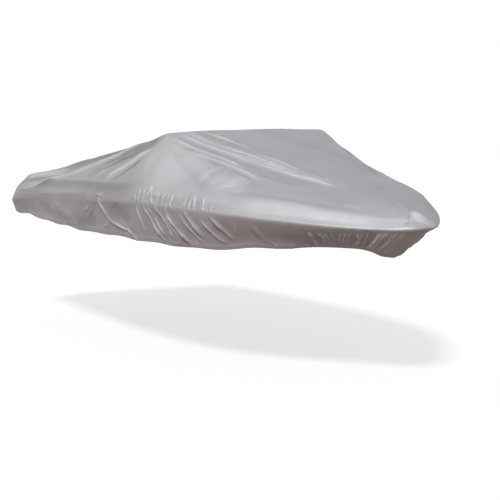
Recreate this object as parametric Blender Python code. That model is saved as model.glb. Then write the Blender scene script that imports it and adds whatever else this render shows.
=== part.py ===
"""Fitted boat cover: one sheet of thin coated cloth, pulled tight and gathered in at its hem.

X runs forward along the cover, Y to its left and Z up, in metres. The sheet is drawn through five lines
that run from its square stern end to its pointed bow end: the hem, the side line where the cloth turns
under, the edge line above it, the shoulder line and the centre line. Each station joins one point of
every line. A place on the cloth is given by its station and by its girth: 0 at the hem, 1 at the side,
2 at the edge, 3 at the shoulder and 4 at the centre.
"""

import bmesh
import bpy
import numpy as np

LENGTH = 5.08  # along the side line, from the stern end to the bow tip
THICKNESS = 0.002
PEAK_STATION, PEAK_AHEAD = 2.80, 0.10  # the cross ridge, and how far its middle stands forward of its ends
PEAK_HEIGHT = 0.815
PEAK_TILT, PEAK_TILT_REACH = 0.012, 0.45  # the ridge stands this much higher at its left-hand end
PEAK_HALF = 0.68
# Heights in the tables are above the lowest point of the hem. The frame's origin is under the peak's middle.
ORIGIN = np.array([PEAK_STATION + PEAK_AHEAD, 0.0, PEAK_HEIGHT - THICKNESS])

HEM, SIDE, EDGE, SHOULDER, CENTRE = range(5)
STARBOARD, PORT = -1, 1

# Each line: station, how far behind the station, half width, height, and the softness of the bend there.
# The centre line gives the crown of its strip instead.
LINES = {
    HEM: (
        (0.00, -0.030, 0.850, 0.082, 0.0),
        (0.04, -0.020, 0.905, 0.080, 0.0),
        (0.12, 0.000, 0.935, 0.079, 0.0),
        (0.50, 0.000, 0.960, 0.077, 0.0),
        (0.94, 0.000, 0.980, 0.053, 0.0),
        (1.40, 0.000, 0.985, 0.037, 0.0),
        (1.85, 0.000, 0.985, 0.023, 0.0),
        (2.30, 0.000, 0.980, 0.022, 0.0),
        (2.85, 0.000, 0.952, 0.019, 0.0),
        (3.15, 0.005, 0.918, 0.009, 0.0),
        (3.43, 0.020, 0.878, 0.005, 0.0),
        (3.80, 0.060, 0.787, 0.008, 0.0),
        (4.00, 0.080, 0.714, 0.019, 0.0),
        (4.20, 0.110, 0.635, 0.032, 0.0),
        (4.40, 0.140, 0.535, 0.044, 0.0),
        (4.60, 0.180, 0.420, 0.057, 0.0),
        (4.80, 0.225, 0.290, 0.061, 0.0),
        (4.92, 0.260, 0.205, 0.059, 0.0),
        (5.00, 0.285, 0.138, 0.042, 0.0),
        (5.05, 0.297, 0.080, 0.012, 0.0),
        (5.08, 0.305, 0.000, 0.000, 0.0),
    ),
    SIDE: (
        (0.00, 0.000, 0.880, 0.182, 0.0),
        (0.04, 0.000, 0.945, 0.184, 0.0),
        (0.12, 0.000, 0.980, 0.188, 0.0),
        (0.50, 0.000, 1.000, 0.208, 0.0),
        (1.20, 0.000, 1.030, 0.242, 0.0),
        (2.00, 0.000, 1.045, 0.265, 0.0),
        (2.80, 0.000, 1.030, 0.291, 0.0),
        (3.10, 0.000, 1.012, 0.294, 0.0),
        (3.43, 0.000, 0.980, 0.284, 0.0),
        (3.80, 0.000, 0.915, 0.272, 0.0),
        (4.00, 0.000, 0.855, 0.264, 0.0),
        (4.20, 0.000, 0.757, 0.248, 0.0),
        (4.40, 0.000, 0.632, 0.234, 0.0),
        (4.60, 0.000, 0.484, 0.216, 0.0),
        (4.80, 0.000, 0.328, 0.204, 0.0),
        (4.92, 0.000, 0.226, 0.199, 0.0),
        (5.00, 0.000, 0.153, 0.199, 0.0),
        (5.05, 0.000, 0.092, 0.202, 0.0),
        (5.08, 0.000, 0.000, 0.205, 0.0),
    ),
    EDGE: (
        (0.00, 0.000, 0.840, 0.182, 0.10),
        (0.04, 0.000, 0.900, 0.268, 0.10),
        (0.12, 0.000, 0.925, 0.298, 0.10),
        (0.25, 0.000, 0.935, 0.312, 0.10),
        (0.60, 0.000, 0.945, 0.352, 0.10),
        (1.10, 0.000, 0.965, 0.402, 0.08),
        (2.25, 0.000, 0.970, 0.416, 0.08),
        (3.00, 0.000, 0.935, 0.427, 0.16),
        (3.40, 0.000, 0.890, 0.412, 0.35),
        (3.80, 0.010, 0.825, 0.402, 0.40),
        (4.10, 0.030, 0.710, 0.384, 0.30),
        (4.40, 0.040, 0.538, 0.352, 0.20),
        (4.60, 0.060, 0.402, 0.319, 0.20),
        (4.80, 0.080, 0.262, 0.288, 0.20),
        (4.92, 0.090, 0.177, 0.268, 0.20),
        (5.00, 0.100, 0.114, 0.262, 0.20),
        (5.05, 0.105, 0.066, 0.262, 0.20),
        (5.08, 0.110, 0.000, 0.262, 0.20),
    ),
    SHOULDER: (
        (0.00, 0.000, 0.760, 0.182, 0.10),
        (0.03, 0.000, 0.800, 0.325, 0.10),
        (0.07, 0.000, 0.810, 0.395, 0.10),
        (0.13, 0.000, 0.810, 0.425, 0.10),
        (0.28, 0.000, 0.795, 0.434, 0.10),
        (0.70, 0.000, 0.760, 0.480, 0.10),
        (1.20, 0.000, 0.735, 0.547, 0.10),
        (1.80, 0.000, 0.718, 0.635, 0.10),
        (2.20, 0.000, 0.708, 0.700, 0.10),
        (2.60, 0.000, 0.690, 0.772, 0.08),
        (2.74, 0.000, 0.683, 0.799, 0.06),
        (2.80, 0.000, PEAK_HALF, 0.806, 0.05),
        (2.86, 0.000, 0.676, 0.791, 0.06),
        (3.10, 0.000, 0.660, 0.694, 0.10),
        (3.35, 0.000, 0.630, 0.618, 0.20),
        (3.60, 0.000, 0.600, 0.554, 0.30),
        (3.85, 0.020, 0.560, 0.492, 0.40),
        (4.10, 0.050, 0.500, 0.442, 0.40),
        (4.40, 0.120, 0.380, 0.402, 0.40),
        (4.70, 0.200, 0.230, 0.368, 0.40),
        (4.95, 0.245, 0.105, 0.348, 0.40),
        (5.08, 0.220, 0.000, 0.325, 0.40),
    ),
    CENTRE: (
        (0.00, 0.000, 0.000, 0.182, 1.0),
        (0.03, 0.000, 0.000, 0.335, 1.0),
        (0.07, 0.000, 0.000, 0.408, 1.0),
        (0.13, 0.000, 0.000, 0.438, 1.0),
        (0.28, 0.000, 0.000, 0.461, 1.0),
        (0.70, 0.000, 0.000, 0.506, 1.0),
        (1.20, 0.000, 0.000, 0.570, 1.0),
        (1.80, 0.000, 0.000, 0.652, 1.0),
        (2.60, -0.080, 0.000, 0.789, 1.0),
        (2.74, -PEAK_AHEAD, 0.000, 0.810, 1.0),
        (2.80, -PEAK_AHEAD, 0.000, PEAK_HEIGHT, 1.0),
        (2.86, -PEAK_AHEAD, 0.000, 0.804, 1.0),
        (3.10, -0.090, 0.000, 0.730, 1.0),
        (3.60, -0.050, 0.000, 0.612, 1.0),
        (4.10, 0.050, 0.000, 0.494, 0.6),
        (4.60, 0.250, 0.000, 0.416, 0.0),
        (4.85, 0.385, 0.000, 0.396, 0.0),
        (5.00, 0.414, 0.000, 0.374, 0.0),
        (5.05, 0.408, 0.000, 0.364, 0.0),
        (5.08, 0.350, 0.000, 0.350, 0.0),
    ),
}

# Main folds: side, start station and girth, end station and girth, width, and how far the fold stands
# out. A fold that stands out less than 0 is a trough.
FOLDS = (
    # Skirt, right-hand side: slanted folds below the side line, each leaning forward as it goes down.
    (STARBOARD, 2.30, 1.00, 2.62, 0.45, 0.060, 0.016),
    (STARBOARD, 2.55, 0.42, 2.98, 0.00, 0.055, 0.014),
    (STARBOARD, 2.25, 0.95, 2.02, 0.25, 0.050, -0.012),
    (STARBOARD, 2.88, 1.00, 3.10, 0.00, 0.045, 0.018),
    (STARBOARD, 3.02, 1.00, 3.28, 0.00, 0.045, 0.020),
    (STARBOARD, 3.16, 1.00, 3.42, 0.00, 0.045, 0.016),
    (STARBOARD, 3.30, 1.00, 3.55, 0.00, 0.045, 0.018),
    (STARBOARD, 3.50, 0.95, 3.72, 0.05, 0.045, 0.014),
    (STARBOARD, 3.72, 0.95, 3.86, 0.05, 0.045, 0.013),
    (STARBOARD, 3.95, 0.85, 4.12, 0.05, 0.050, 0.008),
    (STARBOARD, 1.20, 0.90, 1.55, 0.05, 0.060, 0.008),
    # Skirt, left-hand side.
    (PORT, 1.05, 0.95, 1.40, 0.00, 0.060, 0.010),
    (PORT, 1.90, 1.00, 2.25, 0.05, 0.060, 0.013),
    (PORT, 2.45, 1.00, 2.70, 0.00, 0.050, 0.016),
    (PORT, 2.78, 1.00, 3.05, 0.00, 0.050, 0.014),
    (PORT, 3.10, 1.00, 3.30, 0.00, 0.045, 0.018),
    (PORT, 3.34, 1.00, 3.60, 0.00, 0.045, 0.015),
    (PORT, 3.66, 0.95, 3.84, 0.05, 0.045, 0.014),
    (PORT, 4.00, 0.90, 4.14, 0.05, 0.050, 0.009),
    # Top: long wrinkles from the ends of the peak toward the bow, and streaks toward the stern.
    (STARBOARD, 2.86, 3.05, 4.35, 3.05, 0.060, 0.010),
    (STARBOARD, 2.88, 2.90, 4.20, 2.75, 0.055, 0.012),
    (STARBOARD, 2.88, 2.70, 3.80, 2.40, 0.055, 0.012),
    (STARBOARD, 2.90, 3.20, 3.60, 3.35, 0.055, 0.008),
    (STARBOARD, 2.72, 2.75, 0.60, 2.35, 0.070, 0.012),
    (STARBOARD, 2.76, 2.85, 1.30, 2.70, 0.060, -0.010),
    (PORT, 2.86, 3.00, 4.30, 2.95, 0.060, 0.010),
    (PORT, 2.88, 2.80, 4.00, 2.60, 0.055, 0.011),
    (PORT, 2.90, 3.25, 3.70, 3.45, 0.055, 0.008),
    (PORT, 2.72, 2.80, 0.80, 2.50, 0.070, 0.011),
)
FOLD_STEPS = 24  # points along each fold
FOLD_TAPER = 0.18  # share of a fold's length over which each end fades

HEM_WAVES = ((23, 0.0040, 0.0), (14, 0.0025, 1.0))  # dips of the hem all round: how many, how deep, turned by
SIDE_ROUNDING = 0.5  # how much of the sharp turn at the side line is taken off

# Stations are close together at both ends, at the peak and where the folds are deepest.
STATIONS = np.concatenate(
    [
        [0.0, 0.02, 0.05, 0.09, 0.15, 0.24, 0.38],
        np.linspace(0.56, 2.60, 15),
        [2.70, 2.76, 2.80, 2.84, 2.90, 2.98],
        np.linspace(3.06, 3.80, 10),
        np.linspace(3.90, 4.70, 8),
        LENGTH - 0.30 * np.linspace(1.0, 0.0, 8) ** 2,
    ]
)
GIRTHS = np.array([1.0, 1.08, 1.3, 1.65, 1.9, 2.0, 2.12, 2.35, 2.65, 2.88, 3.0, 3.12, 3.4, 3.7, 4.0])
SKIRT_GIRTHS = np.array([0.92, 0.72, 0.48, 0.24, 0.0])


def ease(station):
    """Runs evenly round the blunt bow tip, where the lines turn across the cover."""
    return 1.0 - np.sqrt(np.clip(1.0 - np.asarray(station, float) / LENGTH, 0.0, 1.0))


def smooth(at, xs, ys):
    """A smooth curve through the given points, which never overshoots them."""
    step, run = np.diff(xs), np.diff(ys)
    slope = run / step
    tangent = np.concatenate([slope[:1], np.zeros(len(slope) - 1), slope[-1:]])
    same = slope[:-1] * slope[1:] > 0
    near, far = (2 * step[1:] + step[:-1])[same], (step[1:] + 2 * step[:-1])[same]
    tangent[1:-1][same] = (near + far) / (near / slope[:-1][same] + far / slope[1:][same])
    k = np.clip(np.searchsorted(xs, at) - 1, 0, len(step) - 1)
    t = np.clip((at - xs[k]) / step[k], 0.0, 1.0)
    rise = run[k] * t * t * (3.0 - 2.0 * t)
    swing = step[k] * t * (1.0 - t) * (tangent[k] * (1.0 - t) - tangent[k + 1] * t)
    return ys[k] + rise + swing


def line_points(line, stations):
    """Points of one line at the stations, on the left-hand side, and its last column there."""
    table = np.array(LINES[line])
    at, knots = ease(stations), ease(table[:, 0])
    behind, half, height, last = (smooth(at, knots, table[:, k]) for k in range(1, 5))
    return np.stack([stations - behind, half, height], -1), last


def ramp(x, softness):
    """0 before x = 0 and x after it, with a rounded corner."""
    return 0.5 * (x + np.sqrt(x * x + softness * softness))


def corner(girth, at, softness, start, end):
    """How much of the bend at girth `at` has been taken, exactly 0 at the start and end - at at the end."""
    start_error = ramp(start - at, softness)
    end_error = ramp(end - at, softness) - (end - at)
    share = (girth - start) / (end - start)
    return ramp(girth - at, softness) - start_error * (1.0 - share) - end_error * share


def upper(stations, girth):
    """Cloth above the side line on the left-hand side. The arrays have one shape, and girth is 1 to 4."""
    side, _ = line_points(SIDE, stations)
    edge, edge_soft = line_points(EDGE, stations)
    shoulder, shoulder_soft = line_points(SHOULDER, stations)
    centre, crown = line_points(CENTRE, stations)
    first, second, third = edge - side, shoulder - edge, centre - shoulder
    at_edge = corner(girth, EDGE, edge_soft, SIDE, CENTRE)[..., None]
    at_shoulder = corner(girth, SHOULDER, shoulder_soft, SIDE, CENTRE)[..., None]
    points = side + first * (girth - SIDE)[..., None] + (second - first) * at_edge
    points += (third - second) * at_shoulder
    across = np.clip(girth - SHOULDER, 0.0, 1.0)
    points[..., 2] += crown * third[..., 2] * across * (1.0 - across)
    return points


def lower(stations, girth):
    """Skirt below the side line on the left-hand side. Girth is from 0 to 1."""
    hem, _ = line_points(HEM, stations)
    side, _ = line_points(SIDE, stations)
    return hem + (side - hem) * girth[..., None]


def on_cloth(side, stations, girth):
    """Points of the smooth cover, by station and girth, on either side."""
    stations, girth = np.broadcast_arrays(np.asarray(stations, float), np.asarray(girth, float))
    above = (girth >= SIDE)[..., None]
    up = upper(stations, np.maximum(girth, SIDE))
    points = np.where(above, up, lower(stations, np.minimum(girth, SIDE))) * (1, side, 1)
    near_peak = np.exp(-(((stations - PEAK_STATION) / PEAK_TILT_REACH) ** 2))
    on_top = np.clip(girth - EDGE, 0.0, 1.0)
    points[..., 2] += PEAK_TILT * near_peak * on_top * points[..., 1] / PEAK_HALF
    return points


def quads(index):
    """Faces between neighbouring rows and columns of a net of point numbers."""
    corners = index[:-1, :-1], index[1:, :-1], index[1:, 1:], index[:-1, 1:]
    return np.stack([c.ravel() for c in corners], axis=1)


def smooth_cover():
    """The cover without its folds: a net over the top, with rings of skirt round it down to the hem."""
    last, middle = len(STATIONS) - 1, len(GIRTHS) - 1
    right = on_cloth(STARBOARD, STATIONS[:, None], GIRTHS[None, :])
    left = on_cloth(PORT, STATIONS[:, None], GIRTHS[None, -2::-1])
    top = np.concatenate([right, left], axis=1)
    index = np.arange(top[..., 0].size).reshape(top.shape[:2])
    # The last station lies folded along the centre line, so its two halves are one row of points.
    index[last, middle + 1 :] = index[last, middle - 1 :: -1]
    faces = [quads(index)]

    # Round the side line: bow tip, right-hand side, stern end, left-hand side.
    around = np.concatenate([index[last:0:-1, 0], index[0, :-1], index[:last, -1]])
    side = top.reshape(-1, 3)[around]
    hem_right = on_cloth(STARBOARD, STATIONS[::-1], HEM)
    hem_left = on_cloth(PORT, STATIONS[:-1], HEM)
    share = top[0, 1:-1, 1:2] / top[0, 0, 1]
    hem_behind = hem_right[-1] * (1, 0, 1) + share * hem_right[-1] * (0, 1, 0)
    hem = np.concatenate([hem_right, hem_behind, hem_left])

    rings, points = [around], [top.reshape(-1, 3)]
    for girth in SKIRT_GIRTHS:
        rings.append(sum(len(p) for p in points) + np.arange(len(around)))
        points.append(hem + (side - hem) * girth)
    rings = np.stack(rings, axis=1)
    faces.append(quads(np.vstack([rings, rings[:1]])))
    return np.concatenate(points), np.concatenate(faces), rings


def point_normals(points, faces):
    """Outward unit vectors at the points."""
    a, b, c, d = (points[faces[:, k]] for k in range(4))
    facing = np.cross(c - a, d - b)
    total = np.zeros_like(points)
    for k in range(4):
        np.add.at(total, faces[:, k], facing)
    return total / np.maximum(np.linalg.norm(total, axis=1, keepdims=True), 1e-12)


def nearest_on(path, points):
    """Distance of each point from a path, and how far along the path its nearest place is, from 0 to 1."""
    start, run = path[:-1], np.diff(path, axis=0)
    length_squared = (run * run).sum(axis=1)
    offset = points[:, None, :] - start[None]
    t = np.clip((offset * run).sum(axis=2) / length_squared, 0.0, 1.0)
    distance = np.linalg.norm(offset - t[..., None] * run, axis=2)
    best = distance.argmin(axis=1)
    rows = np.arange(len(points))
    return distance[rows, best], (best + t[rows, best]) / len(run)


def fold(points, normals, row):
    """How far one fold moves each point."""
    side, station_a, girth_a, station_b, girth_b, width, out = row
    share = np.linspace(0.0, 1.0, FOLD_STEPS)
    stations = station_a + (station_b - station_a) * share
    path = on_cloth(side, stations, girth_a + (girth_b - girth_a) * share)
    distance, along = nearest_on(path, points)
    fade = np.clip(np.minimum(along, 1.0 - along) / FOLD_TAPER, 0.0, 1.0)
    size = out * np.exp(-((distance / width) ** 2)) * fade * fade * (3.0 - 2.0 * fade)
    return size[:, None] * normals


def folded_cover():
    """The cover with its main folds, its rounded side line and its wavy hem."""
    points, faces, rings = smooth_cover()
    normals = point_normals(points, faces)
    points = points + sum(fold(points, normals, row) for row in FOLDS)

    # The cloth turns softly under the side line.
    around = rings[:, 0]
    beside = np.zeros_like(points)
    count = np.zeros((len(points), 1))
    for a, b in ((0, 1), (1, 2), (2, 3), (3, 0)):
        for first, second in ((a, b), (b, a)):
            np.add.at(beside, faces[:, first], points[faces[:, second]])
            np.add.at(count, faces[:, first], 1.0)
    points[around] += SIDE_ROUNDING * (beside[around] / count[around] - points[around])

    # The hem rises and falls a little between its gathers.
    turn = np.linspace(0.0, 2.0 * np.pi, len(rings), endpoint=False)
    wave = sum(dip * np.sin(count * turn + turned) for count, dip, turned in HEM_WAVES)
    for ring, girth in zip(rings.T[1:], SKIRT_GIRTHS):
        points[ring, 2] += wave * (1.0 - girth) ** 2
    return points - ORIGIN, faces


def coated_cloth():
    """Silver-grey coated polyester."""
    material = bpy.data.materials.new("coated_cloth")
    material.use_nodes = True
    shader = material.node_tree.nodes["Principled BSDF"]
    shader.inputs["Base Color"].default_value = (0.42, 0.42, 0.44, 1.0)
    shader.inputs["Roughness"].default_value = 0.55
    shader.inputs["Metallic"].default_value = 0.0
    return material


def make_cover():
    points, faces = folded_cover()
    mesh = bpy.data.meshes.new("cover_cloth")
    mesh.from_pydata(points.tolist(), [], faces.tolist())
    cover = bpy.data.objects.new("cover_cloth", mesh)
    bpy.context.scene.collection.objects.link(cover)

    net = bmesh.new()
    net.from_mesh(mesh)
    bmesh.ops.delete(net, geom=[v for v in net.verts if not v.link_faces], context="VERTS")
    bmesh.ops.triangulate(net, faces=net.faces[:])
    net.to_mesh(mesh)
    net.free()
    mesh.shade_smooth()
    mesh.materials.append(coated_cloth())

    sheet = cover.modifiers.new("sheet", "SOLIDIFY")
    sheet.thickness = THICKNESS
    sheet.offset = -1.0
    sheet.use_even_offset = False
    return cover


def main():
    for old in list(bpy.data.objects):
        bpy.data.objects.remove(old)
    make_cover()


main()
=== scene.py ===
"""Looks of a fitted boat cover: its cloth with every wrinkle and gather, its stitched hem, and the studio."""

import math
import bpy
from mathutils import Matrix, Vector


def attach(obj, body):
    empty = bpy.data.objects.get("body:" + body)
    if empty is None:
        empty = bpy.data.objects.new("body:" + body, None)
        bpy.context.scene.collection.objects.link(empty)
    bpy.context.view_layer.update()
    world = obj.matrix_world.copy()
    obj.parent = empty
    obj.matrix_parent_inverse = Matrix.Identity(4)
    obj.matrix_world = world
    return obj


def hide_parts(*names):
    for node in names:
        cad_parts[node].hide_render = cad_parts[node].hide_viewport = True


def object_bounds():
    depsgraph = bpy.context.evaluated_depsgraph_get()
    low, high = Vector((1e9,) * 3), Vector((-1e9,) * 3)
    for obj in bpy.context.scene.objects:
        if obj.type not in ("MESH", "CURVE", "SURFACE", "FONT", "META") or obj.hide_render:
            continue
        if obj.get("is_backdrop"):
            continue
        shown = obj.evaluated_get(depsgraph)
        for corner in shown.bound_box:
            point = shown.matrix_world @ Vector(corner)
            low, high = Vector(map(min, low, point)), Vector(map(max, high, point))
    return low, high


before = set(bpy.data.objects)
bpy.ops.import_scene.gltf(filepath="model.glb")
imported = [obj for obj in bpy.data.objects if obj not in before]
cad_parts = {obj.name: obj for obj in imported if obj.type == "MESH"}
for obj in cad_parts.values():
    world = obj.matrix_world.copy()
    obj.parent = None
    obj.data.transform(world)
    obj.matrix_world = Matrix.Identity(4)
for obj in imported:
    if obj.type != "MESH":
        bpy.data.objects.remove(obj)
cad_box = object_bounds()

from types import SimpleNamespace

import bmesh
import bpy
import numpy as np
from mathutils import Vector, bvhtree, geometry, kdtree, noise

# ---------------------------------------------------------------- the cover's lines, in metres

MILLIMETRES = 1000.0  # in a metre
LENGTH = 5.08  # along the side line, from the stern end to the bow tip
THICKNESS = 0.002
PEAK_STATION, PEAK_AHEAD = 2.80, 0.10  # the cross ridge, and how far its middle stands forward of its ends
PEAK_HEIGHT = 0.815
PEAK_TILT, PEAK_TILT_REACH = 0.012, 0.45  # the ridge stands this much higher at its left-hand end
PEAK_HALF = 0.68
ORIGIN = np.array([PEAK_STATION + PEAK_AHEAD, 0.0, PEAK_HEIGHT - THICKNESS])

HEM, SIDE, EDGE, SHOULDER, CENTRE = range(5)
STARBOARD, PORT = -1, 1

# Each line: station, how far behind the station, half width, height, and the softness of the bend there.
# The centre line gives the crown of its strip instead.
LINES = {
    HEM: (
        (0.00, -0.030, 0.850, 0.082, 0.0),
        (0.04, -0.020, 0.905, 0.080, 0.0),
        (0.12, 0.000, 0.935, 0.079, 0.0),
        (0.50, 0.000, 0.960, 0.077, 0.0),
        (0.94, 0.000, 0.980, 0.053, 0.0),
        (1.40, 0.000, 0.985, 0.037, 0.0),
        (1.85, 0.000, 0.985, 0.023, 0.0),
        (2.30, 0.000, 0.980, 0.022, 0.0),
        (2.85, 0.000, 0.952, 0.019, 0.0),
        (3.15, 0.005, 0.918, 0.009, 0.0),
        (3.43, 0.020, 0.878, 0.005, 0.0),
        (3.80, 0.060, 0.787, 0.008, 0.0),
        (4.00, 0.080, 0.714, 0.019, 0.0),
        (4.20, 0.110, 0.635, 0.032, 0.0),
        (4.40, 0.140, 0.535, 0.044, 0.0),
        (4.60, 0.180, 0.420, 0.057, 0.0),
        (4.80, 0.225, 0.290, 0.061, 0.0),
        (4.92, 0.260, 0.205, 0.059, 0.0),
        (5.00, 0.285, 0.138, 0.042, 0.0),
        (5.05, 0.297, 0.080, 0.012, 0.0),
        (5.08, 0.305, 0.000, 0.000, 0.0),
    ),
    SIDE: (
        (0.00, 0.000, 0.880, 0.182, 0.0),
        (0.04, 0.000, 0.945, 0.184, 0.0),
        (0.12, 0.000, 0.980, 0.188, 0.0),
        (0.50, 0.000, 1.000, 0.208, 0.0),
        (1.20, 0.000, 1.030, 0.242, 0.0),
        (2.00, 0.000, 1.045, 0.265, 0.0),
        (2.80, 0.000, 1.030, 0.291, 0.0),
        (3.10, 0.000, 1.012, 0.294, 0.0),
        (3.43, 0.000, 0.980, 0.284, 0.0),
        (3.80, 0.000, 0.915, 0.272, 0.0),
        (4.00, 0.000, 0.855, 0.264, 0.0),
        (4.20, 0.000, 0.757, 0.248, 0.0),
        (4.40, 0.000, 0.640, 0.234, 0.0),
        (4.60, 0.000, 0.504, 0.216, 0.0),
        (4.80, 0.000, 0.344, 0.204, 0.0),
        (4.92, 0.000, 0.228, 0.199, 0.0),
        (5.00, -0.003, 0.153, 0.199, 0.0),
        (5.05, -0.002, 0.092, 0.202, 0.0),
        (5.08, -0.002, 0.000, 0.205, 0.0),
    ),
    EDGE: (
        (0.00, 0.000, 0.840, 0.182, 0.10),
        (0.04, 0.000, 0.900, 0.268, 0.10),
        (0.12, 0.000, 0.925, 0.298, 0.06),
        (0.25, 0.000, 0.935, 0.312, 0.05),
        (0.60, 0.000, 0.945, 0.352, 0.05),
        (1.10, 0.000, 0.965, 0.402, 0.05),
        (2.25, 0.000, 0.970, 0.416, 0.06),
        (3.00, 0.000, 0.935, 0.427, 0.16),
        (3.40, 0.000, 0.890, 0.412, 0.35),
        (3.80, 0.010, 0.825, 0.402, 0.35),
        (4.10, 0.030, 0.710, 0.376, 0.10),
        (4.40, 0.040, 0.538, 0.352, 0.05),
        (4.60, 0.060, 0.402, 0.319, 0.05),
        (4.80, 0.080, 0.262, 0.288, 0.06),
        (4.92, 0.080, 0.177, 0.268, 0.08),
        (5.00, 0.076, 0.114, 0.262, 0.10),
        (5.05, 0.072, 0.066, 0.262, 0.10),
        (5.08, 0.070, 0.000, 0.262, 0.10),
    ),
    SHOULDER: (
        (0.00, 0.000, 0.760, 0.182, 0.10),
        (0.03, 0.000, 0.800, 0.325, 0.10),
        (0.07, 0.000, 0.810, 0.395, 0.10),
        (0.13, 0.000, 0.810, 0.425, 0.10),
        (0.28, 0.000, 0.795, 0.434, 0.10),
        (0.70, 0.000, 0.760, 0.480, 0.10),
        (1.20, 0.000, 0.735, 0.547, 0.10),
        (1.80, 0.000, 0.718, 0.635, 0.10),
        (2.20, 0.000, 0.708, 0.700, 0.10),
        (2.60, 0.000, 0.690, 0.772, 0.08),
        (2.74, 0.000, 0.683, 0.799, 0.06),
        (2.80, 0.000, PEAK_HALF, 0.806, 0.05),
        (2.86, 0.000, 0.676, 0.791, 0.06),
        (3.10, 0.000, 0.660, 0.694, 0.10),
        (3.35, 0.000, 0.630, 0.618, 0.20),
        (3.60, 0.000, 0.600, 0.554, 0.30),
        (3.85, 0.020, 0.560, 0.492, 0.40),
        (4.10, 0.050, 0.500, 0.442, 0.40),
        (4.40, 0.120, 0.380, 0.402, 0.40),
        (4.70, 0.200, 0.230, 0.368, 0.40),
        (4.95, 0.245, 0.105, 0.348, 0.40),
        (5.08, 0.220, 0.000, 0.325, 0.40),
    ),
    CENTRE: (
        (0.00, 0.000, 0.000, 0.182, 1.0),
        (0.03, 0.000, 0.000, 0.335, 1.0),
        (0.07, 0.000, 0.000, 0.408, 1.0),
        (0.13, 0.000, 0.000, 0.438, 1.0),
        (0.28, 0.000, 0.000, 0.461, 1.0),
        (0.70, 0.000, 0.000, 0.506, 1.0),
        (1.20, 0.000, 0.000, 0.570, 1.0),
        (1.80, 0.000, 0.000, 0.652, 1.0),
        (2.60, -0.080, 0.000, 0.789, 1.0),
        (2.74, -PEAK_AHEAD, 0.000, 0.810, 1.0),
        (2.80, -PEAK_AHEAD, 0.000, PEAK_HEIGHT, 1.0),
        (2.86, -PEAK_AHEAD, 0.000, 0.804, 1.0),
        (3.10, -0.090, 0.000, 0.730, 1.0),
        (3.60, -0.050, 0.000, 0.612, 1.0),
        (4.10, 0.050, 0.000, 0.494, 0.6),
        (4.60, 0.250, 0.000, 0.416, 0.0),
        (4.85, 0.385, 0.000, 0.396, 0.0),
        (5.00, 0.414, 0.000, 0.374, 0.0),
        (5.05, 0.408, 0.000, 0.364, 0.0),
        (5.08, 0.350, 0.000, 0.350, 0.0),
    ),
}
SIDE_SOFTNESS = 0.07  # of the turn at the side line, in girth
LIP_REACH = 0.10  # from the stern end, where that turn is sharper

# ---------------------------------------------------------------- wrinkles, in millimetres across and out

# Each wrinkle: side, width, how far out (less is in), lean, and the places (station, girth) that it runs
# through. Seen from outside and going along it, a positive lean makes its right-hand slope the steeper.

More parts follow.
